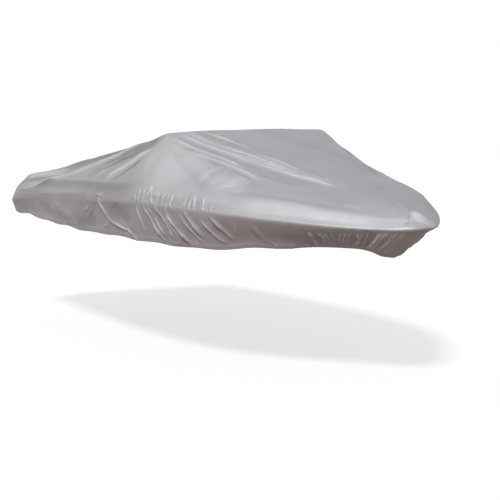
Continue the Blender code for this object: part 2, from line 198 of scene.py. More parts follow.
# Sharp creases, with a narrow top or bottom.
CREASES = (
    # Bundle from the starboard end of the ridge towards the bow: troughs above, in and below it.
    (STARBOARD, 12, -9, 0.4, ((2.80, 3.28), (2.95, 3.40), (3.10, 3.51), (3.20, 3.54), (3.36, 3.58))),
    (STARBOARD, 10, 7, 0.3, ((2.78, 3.34), (2.92, 3.44), (3.04, 3.53), (3.16, 3.58), (3.34, 3.62))),
    (STARBOARD, 10, -5, 0.3, ((2.80, 3.26), (3.00, 3.37), (3.22, 3.45), (3.46, 3.51))),
    (STARBOARD, 11, -8, 0.4, ((3.52, 3.61), (3.80, 3.68), (4.00, 3.75), (4.22, 3.81), (4.46, 3.83))),
    (STARBOARD, 10, 7, 0.4, ((3.30, 3.54), (3.62, 3.61), (3.90, 3.70), (4.16, 3.79), (4.46, 3.86))),
    (STARBOARD, 10, -4, 0.3, ((3.16, 3.32), (3.50, 3.42), (3.86, 3.53), (4.12, 3.62))),
    (STARBOARD, 11, 6, 0.4, ((3.20, 3.23), (3.60, 3.33), (3.92, 3.46), (4.20, 3.60), (4.50, 3.77))),
    (
        STARBOARD, 13, -9, 0.4,
        ((2.86, 3.02), (3.06, 3.12), (3.26, 3.18), (3.47, 3.21), (3.72, 3.27), (4.08, 3.43), (4.34, 3.57)),
    ),
    (STARBOARD, 10, 6, 0.3, ((2.82, 3.08), (3.04, 3.19), (3.26, 3.26), (3.56, 3.33))),
    (STARBOARD, 10, -5, 0.3, ((2.82, 3.14), (3.04, 3.26), (3.30, 3.35), (3.56, 3.40))),
    (STARBOARD, 11, 8, 0.4, ((2.86, 2.96), (3.12, 3.07), (3.40, 3.13), (3.68, 3.15))),
    (STARBOARD, 12, -7, 0.4, ((2.98, 2.95), (3.20, 3.03), (3.46, 3.07), (3.78, 3.10))),
    (STARBOARD, 14, 10, 0.4, ((3.06, 2.98), (3.32, 3.03), (3.60, 3.05), (3.96, 3.03))),
    (STARBOARD, 11, -6, 0.4, ((3.26, 2.96), (3.50, 2.97), (3.70, 2.96), (3.92, 2.94))),
    (STARBOARD, 9, 4, 0.3, ((3.04, 3.30), (3.30, 3.40), (3.60, 3.48), (3.90, 3.58))),
    (STARBOARD, 9, -4, 0.3, ((3.34, 3.46), (3.60, 3.53), (3.86, 3.62), (4.10, 3.71))),
    (STARBOARD, 9, 4, 0.3, ((3.56, 3.40), (3.84, 3.50), (4.08, 3.60), (4.34, 3.72))),
    (STARBOARD, 9, -3, 0.3, ((3.86, 3.48), (4.06, 3.56), (4.30, 3.69))),
    (STARBOARD, 10, -6, 0.3, ((3.76, 3.15), (4.00, 3.21), (4.26, 3.30))),
    # Streaks from the starboard end of the ridge towards the stern.
    (
        STARBOARD, 13, 20, 0.0,
        (
            (2.62, 2.98), (2.40, 2.92), (2.20, 2.82), (2.00, 2.68), (1.80, 2.53), (1.60, 2.38),
            (1.42, 2.24), (1.22, 2.11), (1.10, 2.04),
        ),
    ),
    (
        STARBOARD, 12, 18, 0.0,
        ((1.24, 2.08), (1.12, 1.98), (0.98, 1.87), (0.72, 1.75), (0.43, 1.67), (0.20, 1.66)),
    ),
    (
        STARBOARD, 13, 18, 0.0,
        ((2.76, 2.74), (2.65, 2.60), (2.54, 2.46), (2.42, 2.29), (2.35, 2.16), (2.27, 1.96)),
    ),
    (STARBOARD, 11, -9, 0.0, ((2.70, 2.48), (2.58, 2.32), (2.47, 2.14), (2.38, 1.94))),
    (STARBOARD, 11, 7, -0.3, ((2.52, 2.78), (2.30, 2.64), (2.10, 2.48), (1.94, 2.30))),
    (STARBOARD, 11, 8, -0.3, ((2.46, 2.86), (2.16, 2.68), (1.92, 2.54), (1.70, 2.36))),
    (STARBOARD, 11, -7, 0.0, ((2.42, 2.68), (2.18, 2.54), (2.00, 2.38), (1.84, 2.22))),
    (STARBOARD, 12, 9, 0.0, ((2.20, 3.02), (1.80, 3.00), (1.45, 2.98), (1.10, 3.00), (0.60, 3.04))),
    (STARBOARD, 11, 7, 0.0, ((1.30, 2.62), (1.05, 2.52), (0.80, 2.44), (0.50, 2.40))),
    (STARBOARD, 11, 7, 0.0, ((0.72, 2.20), (0.50, 2.10), (0.24, 1.96))),
    (STARBOARD, 11, 4, 0.0, ((0.40, 2.00), (1.18, 2.03), (1.78, 2.00), (2.40, 1.98), (2.98, 1.90))),
    # Lifted spot under the aft band, with ridges and a trough running down from it.
    (
        STARBOARD, 10, 10, 0.2,
        ((2.30, 1.24), (2.36, 1.00), (2.43, 0.67), (2.50, 0.42), (2.65, 0.28), (2.92, 0.10)),
    ),
    (STARBOARD, 10, 6, 0.0, ((2.50, 0.46), (2.42, 0.30), (2.32, 0.18))),
    (STARBOARD, 12, -4, 0.0, ((2.32, 1.05), (2.24, 0.76), (2.14, 0.54), (2.04, 0.40))),
    (STARBOARD, 9, 4, 0.0, ((2.26, 1.10), (2.14, 0.82), (2.00, 0.62))),
    (STARBOARD, 8, 8, 0.0, ((2.70, 0.40), (2.80, 0.20), (2.92, -0.04))),
    (STARBOARD, 8, 6, 0.0, ((2.22, 1.40), (2.33, 1.30), (2.46, 1.18))),
    (STARBOARD, 8, 6, 0.0, ((2.25, 1.18), (2.33, 1.30), (2.42, 1.44))),
    # Ridges slanting down the skirt below the starboard end of the ridge.
    (STARBOARD, 9, 7, 0.3, ((2.99, 1.02), (3.02, 0.60), (3.06, 0.18))),
    (STARBOARD, 9, 9, 0.3, ((3.09, 1.04), (3.17, 0.64), (3.24, 0.24), (3.29, 0.06))),
    (STARBOARD, 8, 7, 0.2, ((3.16, 1.00), (3.25, 0.57), (3.33, 0.12))),
    (STARBOARD, 9, 8, 0.3, ((3.25, 1.06), (3.37, 0.60), (3.43, 0.14))),
    (STARBOARD, 8, 5, 0.2, ((3.34, 0.94), (3.41, 0.60), (3.50, 0.16))),
    (STARBOARD, 13, 12, 0.4, ((3.38, 1.08), (3.44, 0.67), (3.49, 0.48), (3.56, 0.25), (3.63, 0.02))),
    (STARBOARD, 9, 7, 0.2, ((3.56, 0.92), (3.62, 0.62), (3.69, 0.35), (3.76, 0.08))),
    (STARBOARD, 15, 11, 0.4, ((3.62, 1.00), (3.67, 0.78), (3.72, 0.54), (3.78, 0.24))),
    (STARBOARD, 10, 7, 0.2, ((3.78, 0.80), (3.84, 0.60), (3.91, 0.31), (4.00, 0.12))),
    (STARBOARD, 14, 9, 0.4, ((3.88, 0.96), (3.93, 0.76), (3.98, 0.54), (4.05, 0.20))),
    (STARBOARD, 8, 4, 0.0, ((4.10, 0.78), (4.09, 0.60), (4.07, 0.42))),
    # The longest puckers over the side line.
    (STARBOARD, 7, 10, 0.0, ((3.07, 2.00), (3.14, 1.60), (3.20, 1.30), (3.25, 1.02))),
    (STARBOARD, 7, -6, 0.0, ((3.12, 1.90), (3.18, 1.50), (3.24, 1.20))),
    (STARBOARD, 7, 6, 0.0, ((2.92, 1.44), (2.95, 1.28), (2.98, 1.08))),
    (STARBOARD, 7, 6, 0.0, ((3.65, 1.95), (3.69, 1.55), (3.74, 1.14))),
    (STARBOARD, 7, 6, 0.0, ((3.78, 1.75), (3.81, 1.38), (3.85, 0.96))),
    # The bow: creases from the lifted spot, one up, one along its right-hand edge and one down its left.
    (PORT, 13, 5, 0.0, ((5.08, 2.45), (5.075, 2.90), (5.01, 3.40))),
    (PORT, 24, 20, -0.5, ((5.08, 2.70), (5.075, 2.36), (5.055, 1.90), (4.97, 1.42), (4.84, 1.14))),
    (STARBOARD, 10, -5, 0.0, ((5.08, 2.50), (5.066, 2.00), (5.056, 1.72), (5.04, 1.40))),
    (STARBOARD, 9, 3, 0.0, ((4.70, 2.62), (4.78, 2.58), (4.88, 2.54))),
)

# Soft folds, rounded all over.
FOLDS = (
    (STARBOARD, 24, 6, 0.0, ((4.20, 0.85), (4.25, 0.50), (4.30, 0.15))),
    # Slack of the skirt further aft.
    (STARBOARD, 60, -10, 0.0, ((2.62, 0.95), (2.68, 0.60), (2.80, 0.20))),
    (STARBOARD, 50, 8, 0.0, ((1.30, 0.95), (1.50, 0.55), (1.75, 0.15))),
    (STARBOARD, 60, -8, 0.0, ((0.80, 0.90), (1.00, 0.50), (1.30, 0.10))),
    # The bundle's own swell towards the bow.
    (
        STARBOARD, 75, 9, 0.0,
        ((2.90, 3.20), (3.20, 3.33), (3.50, 3.42), (3.80, 3.54), (4.15, 3.65), (4.45, 3.78)),
    ),
    # Wide hollows between the aft streaks.
    (
        STARBOARD, 40, -9, -0.2,
        ((2.66, 3.00), (2.45, 2.98), (2.09, 2.90), (1.75, 2.86), (1.39, 2.80), (1.00, 2.62)),
    ),
    (
        STARBOARD, 40, -9, -0.2,
        ((2.76, 2.80), (2.54, 2.72), (2.35, 2.60), (2.10, 2.48), (1.80, 2.32), (1.60, 2.20)),
    ),
    (STARBOARD, 22, -6, 0.0, ((2.66, 2.42), (2.54, 2.24), (2.42, 2.06))),
    (STARBOARD, 40, -6, 0.0, ((1.00, 2.30), (0.70, 2.20), (0.35, 2.10))),
    # Soft hollows of the side fan.
    (STARBOARD, 52, -8, 0.0, ((2.99, 2.80), (3.23, 2.63), (3.56, 2.30), (3.74, 2.00))),
    (STARBOARD, 44, -6, 0.0, ((3.52, 2.95), (3.55, 2.61), (3.58, 2.23))),
    (STARBOARD, 60, 7, 0.0, ((3.40, 2.72), (3.50, 2.50), (3.52, 2.36))),
    (STARBOARD, 80, 7, 0.0, ((3.60, 2.80), (3.75, 2.55), (3.86, 2.25))),
    (STARBOARD, 80, -7, 0.0, ((3.76, 3.00), (4.02, 2.92), (4.30, 2.80))),
    (STARBOARD, 60, -6, 0.0, ((2.85, 2.60), (2.90, 2.30), (2.95, 2.05))),
    # Highlight inside the aft band.
    (STARBOARD, 30, 7, 0.3, ((0.90, 1.26), (1.27, 1.32), (1.60, 1.36), (1.98, 1.40))),
    (STARBOARD, 26, -6, 0.0, ((0.60, 1.58), (1.20, 1.66), (1.80, 1.72), (2.30, 1.74))),
    # The drawn-in skirt at the bow, port side, and the fullness along the port shoulder.
    (PORT, 60, -22, 0.0, ((4.28, 0.50), (4.55, 0.52), (4.82, 0.56), (5.08, 0.60))),
    (PORT, 90, 16, 0.0, ((3.00, 2.95), (3.25, 2.86), (3.55, 2.80), (3.80, 2.70))),
    # Faint creases across the fore panel.
    (STARBOARD, 26, -3, 0.0, ((3.46, 3.60), (3.50, 3.70), (3.54, 3.85), (3.56, 3.99))),
    (PORT, 26, -3, 0.0, ((3.56, 3.99), (3.56, 3.75), (3.56, 3.48), (3.58, 3.26))),
    # The top edge of the bow band.
    (STARBOARD, 30, -5, 0.2, ((4.00, 2.40), (4.24, 2.36), (4.46, 2.30), (4.70, 2.30), (4.90, 2.36))),
)

# Fans of sharp creases: side, how many, where the first and the last start, as (station, girth), where the
# first and the last end, width, how far out, and how uneven they are, from 0 to 1.
FANS = (
    # Gathers of the skirt at the bow.
    (STARBOARD, 6, (4.56, 0.72), (4.72, 0.72), (4.64, 0.02), (4.79, 0.02), 7, 6.0, 0.5),
    (STARBOARD, 6, (4.75, 0.74), (4.91, 0.84), (4.81, 0.00), (4.94, 0.02), 7, 7.5, 0.4),
    (STARBOARD, 6, (4.935, 0.86), (5.035, 0.94), (4.955, 0.00), (5.025, 0.02), 8, 10.0, 0.2),
    (STARBOARD, 4, (5.045, 0.92), (5.07, 0.92), (5.035, 0.04), (5.065, 0.10), 8, 6.0, 0.2),
    (PORT, 6, (4.56, 0.72), (4.72, 0.72), (4.64, 0.02), (4.79, 0.02), 7, 5.0, 0.6),
    (PORT, 6, (4.75, 0.74), (4.91, 0.84), (4.81, 0.00), (4.94, 0.02), 7, 6.0, 0.5),
    (PORT, 6, (4.935, 0.84), (5.035, 0.92), (4.955, 0.02), (5.025, 0.04), 8, 6.0, 0.4),
    # Puckers over the side line, and the dips between them.
    (STARBOARD, 12, (2.94, 1.80), (3.72, 1.66), (3.03, 0.96), (3.78, 0.96), 7, 5.0, 0.4),
    (STARBOARD, 12, (2.965, 1.70), (3.745, 1.56), (3.055, 1.02), (3.80, 1.02), 7, -5.0, 0.4),
    (STARBOARD, 4, (3.74, 1.50), (3.96, 1.44), (3.79, 1.00), (4.00, 1.00), 7, 3.0, 0.7),
    # Port side: long wrinkles from the ridge's end, streaks aft, and puckers.
    (PORT, 6, (2.92, 3.00), (3.00, 2.72), (4.10, 2.98), (3.72, 2.44), 13, -7.0, 0.6),
    (PORT, 4, (2.52, 2.94), (2.70, 2.62), (1.30, 2.40), (2.25, 2.02), 13, 11.0, 0.6),
    (PORT, 3, (1.90, 2.62), (2.10, 2.32), (0.40, 2.60), (0.45, 1.70), 12, 8.0, 0.6),
    (PORT, 11, (3.02, 1.66), (3.82, 1.56), (3.12, 0.98), (3.88, 0.98), 11, 4.0, 0.2),
    # Small gathers in the hem, both sides.
    (STARBOARD, 8, (0.40, 0.26), (2.60, 0.24), (0.44, -0.05), (2.70, -0.05), 12, 2.5, 1.0),
    (STARBOARD, 4, (4.20, 0.26), (4.52, 0.26), (4.24, -0.05), (4.58, -0.05), 9, 2.5, 0.8),
    (PORT, 8, (0.40, 0.26), (2.60, 0.24), (0.44, -0.05), (2.70, -0.05), 12, 2.5, 1.0),
    (PORT, 4, (4.20, 0.26), (4.52, 0.26), (4.24, -0.05), (4.58, -0.05), 9, 2.5, 0.8),
)

# Fans of soft folds, in the same way.
SOFT_FANS = (
    (PORT, 9, (2.90, 1.00), (3.90, 0.98), (3.02, 0.08), (4.06, 0.08), 15, 11.0, 0.5),
    (PORT, 4, (1.10, 0.95), (2.50, 1.00), (1.45, 0.10), (2.75, 0.10), 30, 9.0, 0.9),
    (PORT, 4, (2.76, 2.80), (2.96, 2.80), (2.45, 2.00), (3.80, 2.00), 45, -8.0, 0.6),
    (PORT, 3, (2.66, 2.94), (2.74, 2.66), (1.10, 2.52), (1.70, 2.24), 42, -9.0, 0.4),
)

# Light and shade painted into the coat's colour, as bands: a painted highlight (more than 0) or painted shade
# (less than 0);
# side, half width, how much, and the places that it runs through. They add up with the light and shade
# painted along the creases, and the sum is held between -1 and 1, so a band of more than 1 outdoes a darker
# one under it.
PAINTED_BANDS = (
    # The bundle towards the bow, painted lighter as a highlight, and a strip of painted shade under it.
    (
        STARBOARD, 64, 0.55,
        (
            (2.62, 3.02), (2.86, 3.20), (3.06, 3.28), (3.46, 3.41), (3.76, 3.51), (4.05, 3.61),
            (4.30, 3.70), (4.52, 3.80),
        ),
    ),
    (STARBOARD, 20, -0.25, ((3.40, 3.15), (3.72, 3.20), (4.00, 3.26), (4.30, 3.40))),
    # The side fan, painted lighter as a highlight, and painted shade in its hollows.
    (STARBOARD, 180, 0.40, ((2.62, 2.70), (2.86, 2.62), (3.10, 2.50), (3.50, 2.40))),
    (STARBOARD, 230, 0.36, ((2.80, 2.36), (3.20, 2.28), (3.60, 2.15), (4.10, 1.80))),
    (STARBOARD, 90, -0.40, ((2.10, 1.50), (2.50, 1.46), (2.90, 1.40))),
    (STARBOARD, 40, -0.5, ((2.75, 1.22), (3.15, 1.26), (3.55, 1.28), (3.85, 1.24), (4.05, 1.12))),
    (STARBOARD, 60, 0.35, ((3.70, 2.90), (3.86, 2.60), (3.96, 2.35), (4.00, 2.15))),
    (STARBOARD, 70, 0.20, ((3.26, 2.92), (3.52, 2.62), (3.74, 2.42), (3.96, 2.10))),
    (STARBOARD, 34, -0.30, ((2.90, 2.90), (3.23, 2.63), (3.56, 2.30), (3.70, 2.10))),
    (STARBOARD, 26, -0.25, ((3.56, 3.00), (3.55, 2.61), (3.62, 2.24))),
    # The bow band, painted lighter as a highlight, brightest at its tip.
    (STARBOARD, 60, 0.40, ((3.90, 1.60), (4.40, 1.60), (4.70, 1.62), (5.00, 1.70))),
    (
        STARBOARD, 48, 0.6,
        ((4.50, 1.52), (4.66, 1.52), (4.82, 1.52), (4.94, 1.56), (5.02, 1.62), (5.08, 1.70)),
    ),
    (PORT, 46, 1.6, ((5.08, 2.40), (5.072, 2.10), (5.06, 1.75), (5.02, 1.50), (4.90, 1.24))),
    # Painted shade in the hollows and painted highlights on the ridges towards the stern.
    (
        STARBOARD, 120, -1.2,
        (
            (2.84, 3.06), (2.62, 3.06), (2.43, 3.06), (2.17, 3.03), (1.90, 3.00), (1.58, 2.99),
            (1.21, 2.95), (0.70, 2.85),
        ),
    ),
    (
        STARBOARD, 60, -1.0,
        ((2.80, 2.90), (2.66, 2.82), (2.52, 2.76), (2.30, 2.63), (2.10, 2.50), (1.86, 2.34)),
    ),
    (
        STARBOARD, 14, 2.6,
        (
            (2.52, 2.95), (2.40, 2.92), (2.20, 2.82), (2.00, 2.68), (1.80, 2.54), (1.60, 2.38),
            (1.42, 2.24), (1.22, 2.11), (1.00, 1.97), (0.84, 1.84), (0.60, 1.71), (0.36, 1.65),
        ),
    ),
    (
        STARBOARD, 12, 2.0,
        ((2.74, 2.70), (2.63, 2.56), (2.52, 2.42), (2.40, 2.26), (2.33, 2.13), (2.26, 1.94)),
    ),
    (STARBOARD, 16, -0.7, ((2.76, 2.62), (2.66, 2.46), (2.55, 2.28), (2.45, 2.10), (2.38, 1.96))),
    (STARBOARD, 40, -0.7, ((1.00, 2.12), (0.85, 2.15), (0.62, 2.30), (0.43, 2.44), (0.30, 2.50))),
    (STARBOARD, 14, 0.6, ((2.50, 2.80), (2.30, 2.68), (2.10, 2.54), (1.90, 2.38))),
    (STARBOARD, 26, 0.5, ((2.30, 2.48), (2.15, 2.34), (2.06, 2.16), (1.98, 2.06))),
    (STARBOARD, 40, 0.3, ((2.10, 3.14), (1.60, 3.16), (1.10, 3.14), (0.60, 3.06))),
    (
        STARBOARD, 50, 1.2,
        ((1.30, 2.34), (1.00, 2.46), (0.70, 2.56), (0.40, 2.76), (0.22, 2.94), (0.14, 3.20)),
    ),
    (STARBOARD, 40, 0.5, ((0.85, 2.00), (0.60, 1.90), (0.40, 1.80))),
    (STARBOARD, 30, -0.7, ((0.30, 2.60), (0.24, 2.34), (0.16, 2.10))),
    # The aft band, painted darker as shade, but for a painted highlight line along it.
    (STARBOARD, 48, -0.5, ((0.30, 1.56), (1.00, 1.70), (1.78, 1.74), (2.40, 1.76), (3.10, 1.72))),
    (STARBOARD, 34, -0.6, ((0.06, 1.12), (0.80, 1.14), (1.60, 1.16), (2.60, 1.14))),
    (STARBOARD, 12, 0.4, ((0.90, 1.30), (1.27, 1.34), (1.60, 1.37), (1.98, 1.40))),
    # The skirt, painted darker as shade and darkest at its ends, with one band painted lighter.
    (STARBOARD, 70, -0.35, ((0.00, 0.75), (0.40, 0.75), (0.90, 0.75))),
    (STARBOARD, 55, 0.4, ((1.15, 0.80), (1.50, 0.74), (1.90, 0.68))),
    (STARBOARD, 45, -0.6, ((1.75, 0.24), (2.02, 0.34), (2.24, 0.52))),
    (STARBOARD, 60, -0.5, ((2.50, 0.82), (2.66, 0.74), (2.90, 0.68))),
    (STARBOARD, 90, -0.45, ((4.15, 0.50), (4.50, 0.50), (4.80, 0.50), (5.08, 0.50))),
    # The port side's top: painted highlights, and a band of painted shade.
    (PORT, 60, 0.3, ((2.90, 2.95), (3.20, 2.95), (3.60, 2.80), (4.00, 2.70))),
    (PORT, 50, -0.8, ((2.66, 2.90), (2.30, 2.74), (1.80, 2.62), (1.30, 2.50))),
    (PORT, 90, 0.3, ((3.20, 2.80), (3.50, 2.50), (3.90, 2.10))),
)
# The random numbers of the fans, and how much a wholly uneven one varies: where its creases start, how far
# their ends slide, how far out and how wide they are, and how far their middles move; then the lean of each,
# and how far its middle stays, in girth, from those of its ends.
FAN_SEED = 7
FAN_START, FAN_SLIDE, FAN_OUT, FAN_WIDTH, FAN_MIDDLE, FAN_LEAN = 0.6, 0.25, 0.6, 0.35, 0.05, 0.4
MIDDLE_ROOM = 0.01
# Along each wrinkle its height swells and sinks, by this much, so many times.
SWELL, SWELL_TURNS, SWELL_STEPS = 0.25, (1.0, 2.5), 64
# Rain and sun leave the aft top chalky and without gloss: from no chalk to full, by station and by run.
CHALK_STATIONS, CHALK_RUNS, CHALK_ROUGHNESS = (2.76, 2.40), (1.05, 0.70), 0.86

# Spots that stand out, lifted from below, or are drawn in: side, station, girth, reach and height.
SPOTS = (
    (STARBOARD, 5.08, 2.34, 40, 16),
    (STARBOARD, 2.33, 1.30, 20, 9),
    (PORT, 5.05, 0.58, 90, -24),
)
SPOT_ROUND = 0.1  # how rounded the top of a spot is

# Gathers of the skirt across the stern end: half waves to the metre, how far in and out, how quickly they
# grow down the skirt, and where they fade out towards the corners.
STERN_GATHERS, STERN_GATHER_DEPTH, STERN_GATHER_GROWTH = 34, 0.004, 1.5
STERN_HALF, STERN_FADE = 0.88, 0.1

# Random unevenness of the whole cloth: wavelength along the cover and across it, and depth.
UNEVEN = (
    (0.55, 0.22, 0.0060),
    (0.22, 0.09, 0.0030),
    (0.09, 0.045, 0.0010),
)
UNEVEN_PLACE = Vector((3.1, 7.7, 1.3))  # where in the endless random pattern the cloth lies
GIRTH_UNIT = 0.35  # metres across the cover for 1 of girth, roughly
# Where the cloth is taut, each as stations and runs from slack to taut, and how much less uneven it is there.
TAUT_PANEL, TAUT_FRONT, TAUT_SHARE = ((2.85, 3.10), (1.0, 0.6)), ((4.1, 4.5), (2.3, 2.0)), 0.8

# The turned edge of the hem: its depth, how far it stands out, over what height it rises to that, and how far
# above its very edge it starts to look rounded.
HEM_DEPTH, HEM_STEP, HEM_RISE, HEM_ROUND = 0.030, 0.0012, 0.004, 0.0025
HEM_WAVES = ((23, 0.0040, 0.0), (14, 0.0025, 1.0))  # dips of the hem all round: half waves, depth, turned by

# ---------------------------------------------------------------- the net of the cloth

# Rows along the cover, as (from, to, how many), and one more run that closes in on the bow tip.
STATION_RUNS = ((0.0, 0.14, 6), (0.14, 4.72, 92))
TIP_RUN = 12
TOP_RUNS = np.linspace(0.0, CENTRE - SIDE, 28)  # columns from the centre line to the side line
SKIRT_ROWS = 5  # from the side line down to just above the step of the turned hem
# Edges are split until none is longer than wanted there, in metres.
PLAIN_EDGE, BEND_EDGE, HEM_EDGE, LEAST_EDGE = 0.060, 0.030, 0.027, 0.006
# Beside a wrinkle: the longest edge, in its widths, how many widths out that holds, how fast edges may grow
# beyond, and how little an edge's length along the wrinkle counts.
EDGE_PER_WIDTH, EDGE_NEAR, EDGE_GROWTH, EDGE_STRETCH = 1.05, 1.3, 1.9, 0.15
SIDE_BEND, PEAK_BEND, HEM_FINE = 0.2, 0.08, 1.3  # reach of the finer net: girth, stations, depths of the hem
MOST_SPLITS = 6
# Points within SNAP of these rows beside a sharp crease, in its widths, move onto them. A triangle keeps at
# least this share of its area when its points move or an edge turns. The moves that spoil one are taken back,
# and what is then spoilt beside them, in this many rounds.
SNAP_ROWS, SNAP, LEAST_KEPT, SNAP_ROUNDS = (0.0, 1.0), 0.45, 0.25, 3
# Edges turn only where the cloth is this nearly flat and swings out by this much, for this gain, in metres.
TURN_PASSES, LEAST_FLAT, LEAST_SWING, LEAST_GAIN = 5, 0.99, 0.0004, 0.00005
CREASE_FALL, CREASE_ROUND = 1.5, 0.35  # how steeply a sharp crease falls away, and how round its top is
# Of any wrinkle: how many points its route has, the share of its length over which each end fades, and how
# far it reaches to each side, in widths.
ROUTE_STEPS, ROUTE_ENDS, ROUTE_REACH = 48, 0.22, 4.0
FULLEST_PAINTED_LIGHT, PAINTED_LIGHT_NARROWING = 10.0, 1.3  # the height of a crease, in millimetres, that gets the strongest painted highlight on its top or painted shade in its bottom, and how much narrower that paint runs than the crease

WEAVE_STEPS = 41  # places across half the cover that the weave's map is measured at

# ---------------------------------------------------------------- stitches of the hem

STITCH_UP = 0.024  # above the hem's edge
STITCH_PITCH, STITCH_LENGTH, STITCH_THREAD = 0.0080, 0.0058, 0.0012
STITCH_UNEVEN, STITCH_SEED = 0.08, 3
# Points that the line of stitches is read from, along each side of the cover and across its stern end.
STITCH_SAMPLES, STITCH_STERN_SAMPLES = 700, 175

# ---------------------------------------------------------------- camera and studio

CAMERA_PLACE = (8.87, -4.84, 0.0)
CAMERA_YAW, CAMERA_PITCH = math.radians(28.48), math.radians(5.156)
CAMERA_LENS = 95.9
GROUND = -0.868 - ORIGIN[2]  # the hem's lowest point is 0.868 above the ground
STAGE, STAGE_SIDES = 80.0, 64  # radius of the floor and backdrop, and how many sides they have
FLOOR_LOOK = (0.30, 0.72)  # base colour and glow
KEY_FROM = (0.587, -0.490, 0.643)
KEY_STRENGTH, KEY_ANGLE, KEY_COLOUR = 3.3, math.radians(9.0), (1.0, 0.995, 0.985)
SKY_LIGHT, GROUND_LIGHT = (0.35, 0.355, 0.375), (0.34, 0.262, 0.240)
SKYLINE = 0.15  # how far above and below level the two blend


# ================================================================ shape of the smooth cover


def ease(station):
    """Runs evenly round the blunt bow tip, where the lines turn across the cover."""
    return 1.0 - np.sqrt(np.clip(1.0 - np.asarray(station, float) / LENGTH, 0.0, 1.0))


def smooth(at, xs, ys):
    """A smooth curve through the given points, which never overshoots them."""
    step, run = np.diff(xs), np.diff(ys)
    slope = run / step
    tangent = np.concatenate([slope[:1], np.zeros(len(slope) - 1), slope[-1:]])
    same = slope[:-1] * slope[1:] > 0
    near, far = (2 * step[1:] + step[:-1])[same], (step[1:] + 2 * step[:-1])[same]
    tangent[1:-1][same] = (near + far) / (near / slope[:-1][same] + far / slope[1:][same])
    k = np.clip(np.searchsorted(xs, at) - 1, 0, len(step) - 1)
    t = np.clip((at - xs[k]) / step[k], 0.0, 1.0)
    rise = run[k] * t * t * (3.0 - 2.0 * t)
    swing = step[k] * t * (1.0 - t) * (tangent[k] * (1.0 - t) - tangent[k + 1] * t)
    return ys[k] + rise + swing


def line_points(line, stations):
    """Points of one line at the stations, on the left-hand side, and its last column there."""
    table = np.array(LINES[line])
    at, knots = ease(stations), ease(table[:, 0])
    behind, half, height, last = (smooth(at, knots, table[:, k]) for k in range(1, 5))
    return np.stack([stations - behind, half, height], -1), last


def ramp(x, softness):
    """0 before x = 0 and x after it, with a rounded corner."""
    return 0.5 * (x + np.sqrt(x * x + softness * softness))


def corner(girth, at, softness, start, end):
    """How much of the bend at girth `at` has been taken, exactly 0 at the start and end - at at the end."""
    start_error = ramp(start - at, softness)
    end_error = ramp(end - at, softness) - (end - at)
    share = (girth - start) / (end - start)
    return ramp(girth - at, softness) - start_error * (1.0 - share) - end_error * share


def on_cloth(side, stations, girth):
    """Points of the smooth cover, by station and girth, on either side."""
    stations, girth = np.broadcast_arrays(np.asarray(stations, float), np.asarray(girth, float))
    up = np.maximum(girth, SIDE)
    hem, _ = line_points(HEM, stations)
    flank, _ = line_points(SIDE, stations)
    edge, edge_soft = line_points(EDGE, stations)
    shoulder, shoulder_soft = line_points(SHOULDER, stations)
    centre, crown = line_points(CENTRE, stations)
    below, first, second, third = flank - hem, edge - flank, shoulder - edge, centre - shoulder
    at_edge = corner(up, EDGE, edge_soft, SIDE, CENTRE)[..., None]
    at_shoulder = corner(up, SHOULDER, shoulder_soft, SIDE, CENTRE)[..., None]
    points = flank + first * (up - SIDE)[..., None] + (second - first) * at_edge
    points += (third - second) * at_shoulder
    across = np.clip(up - SHOULDER, 0.0, 1.0)
    points[..., 2] += crown * third[..., 2] * across * (1.0 - across)
    points += below * (np.minimum(girth, SIDE) - SIDE)[..., None]

    # The cloth turns softly under the side line, and sharply at the stern's lip.
    from_side = girth - SIDE
    softness = SIDE_SOFTNESS * np.clip(stations / LIP_REACH, 0.0, 1.0)
    turn = 0.5 * (np.sqrt(from_side**2 + softness**2) - np.abs(from_side))
    points += (first - below) * turn[..., None]

    points[..., 1] *= side
    near_peak = np.exp(-(((stations - PEAK_STATION) / PEAK_TILT_REACH) ** 2))
    on_top = np.clip(girth - EDGE, 0.0, 1.0)
    points[..., 2] += PEAK_TILT * near_peak * on_top * points[..., 1] / PEAK_HALF
    return points


# ================================================================ the net

# A point's place is its station, its run across (0 on the centre line, -3 and 3 on the side line), and
# its drop below the side line, from 0 to 1 at the hem. Across the stern end the skirt hangs from the lip.


def placed(places):
    """Points of the smooth cover, by place."""
    station, run, drop = places.T
    side = np.where(run < 0, STARBOARD, PORT)
    points = on_cloth(side, station, CENTRE - np.abs(run) - drop)
    stern = (station <= 0) & (drop > 0)
    corner_lip = on_cloth(PORT, 0.0, SIDE)
    ends = on_cloth(PORT, np.zeros(stern.sum()), SIDE - drop[stern])
    lip = on_cloth(side[stern], np.zeros(stern.sum()), CENTRE - np.abs(run[stern]))
    points[stern] = ends
    points[stern, 1] = ends[:, 1] * lip[:, 1] / corner_lip[1]
    return points


def rows_along():
    """Stations of the coarse net's rows."""
    runs = [np.linspace(a, b, n, endpoint=False) for a, b, n in STATION_RUNS]
    tip = STATION_RUNS[-1][1]
    runs.append(LENGTH - (LENGTH - tip) * np.linspace(1.0, 0.0, TIP_RUN) ** 2)
    return np.concatenate(runs)


def quads(index, turned=False):
    """Two triangles in each gap between neighbouring rows and columns of point numbers."""
    a, b, c, d = index[:-1, :-1], index[1:, :-1], index[1:, 1:], index[:-1, 1:]
    if turned:
        b, d = d, b
    first, second = (np.stack([k.ravel() for k in face], axis=1) for face in ((a, b, c), (a, c, d)))
    return np.concatenate([first, second])


def skirt_depth(station):
    """How far it is from the side line down to the hem."""
    return np.linalg.norm(on_cloth(PORT, station, SIDE) - on_cloth(PORT, station, HEM), axis=-1)


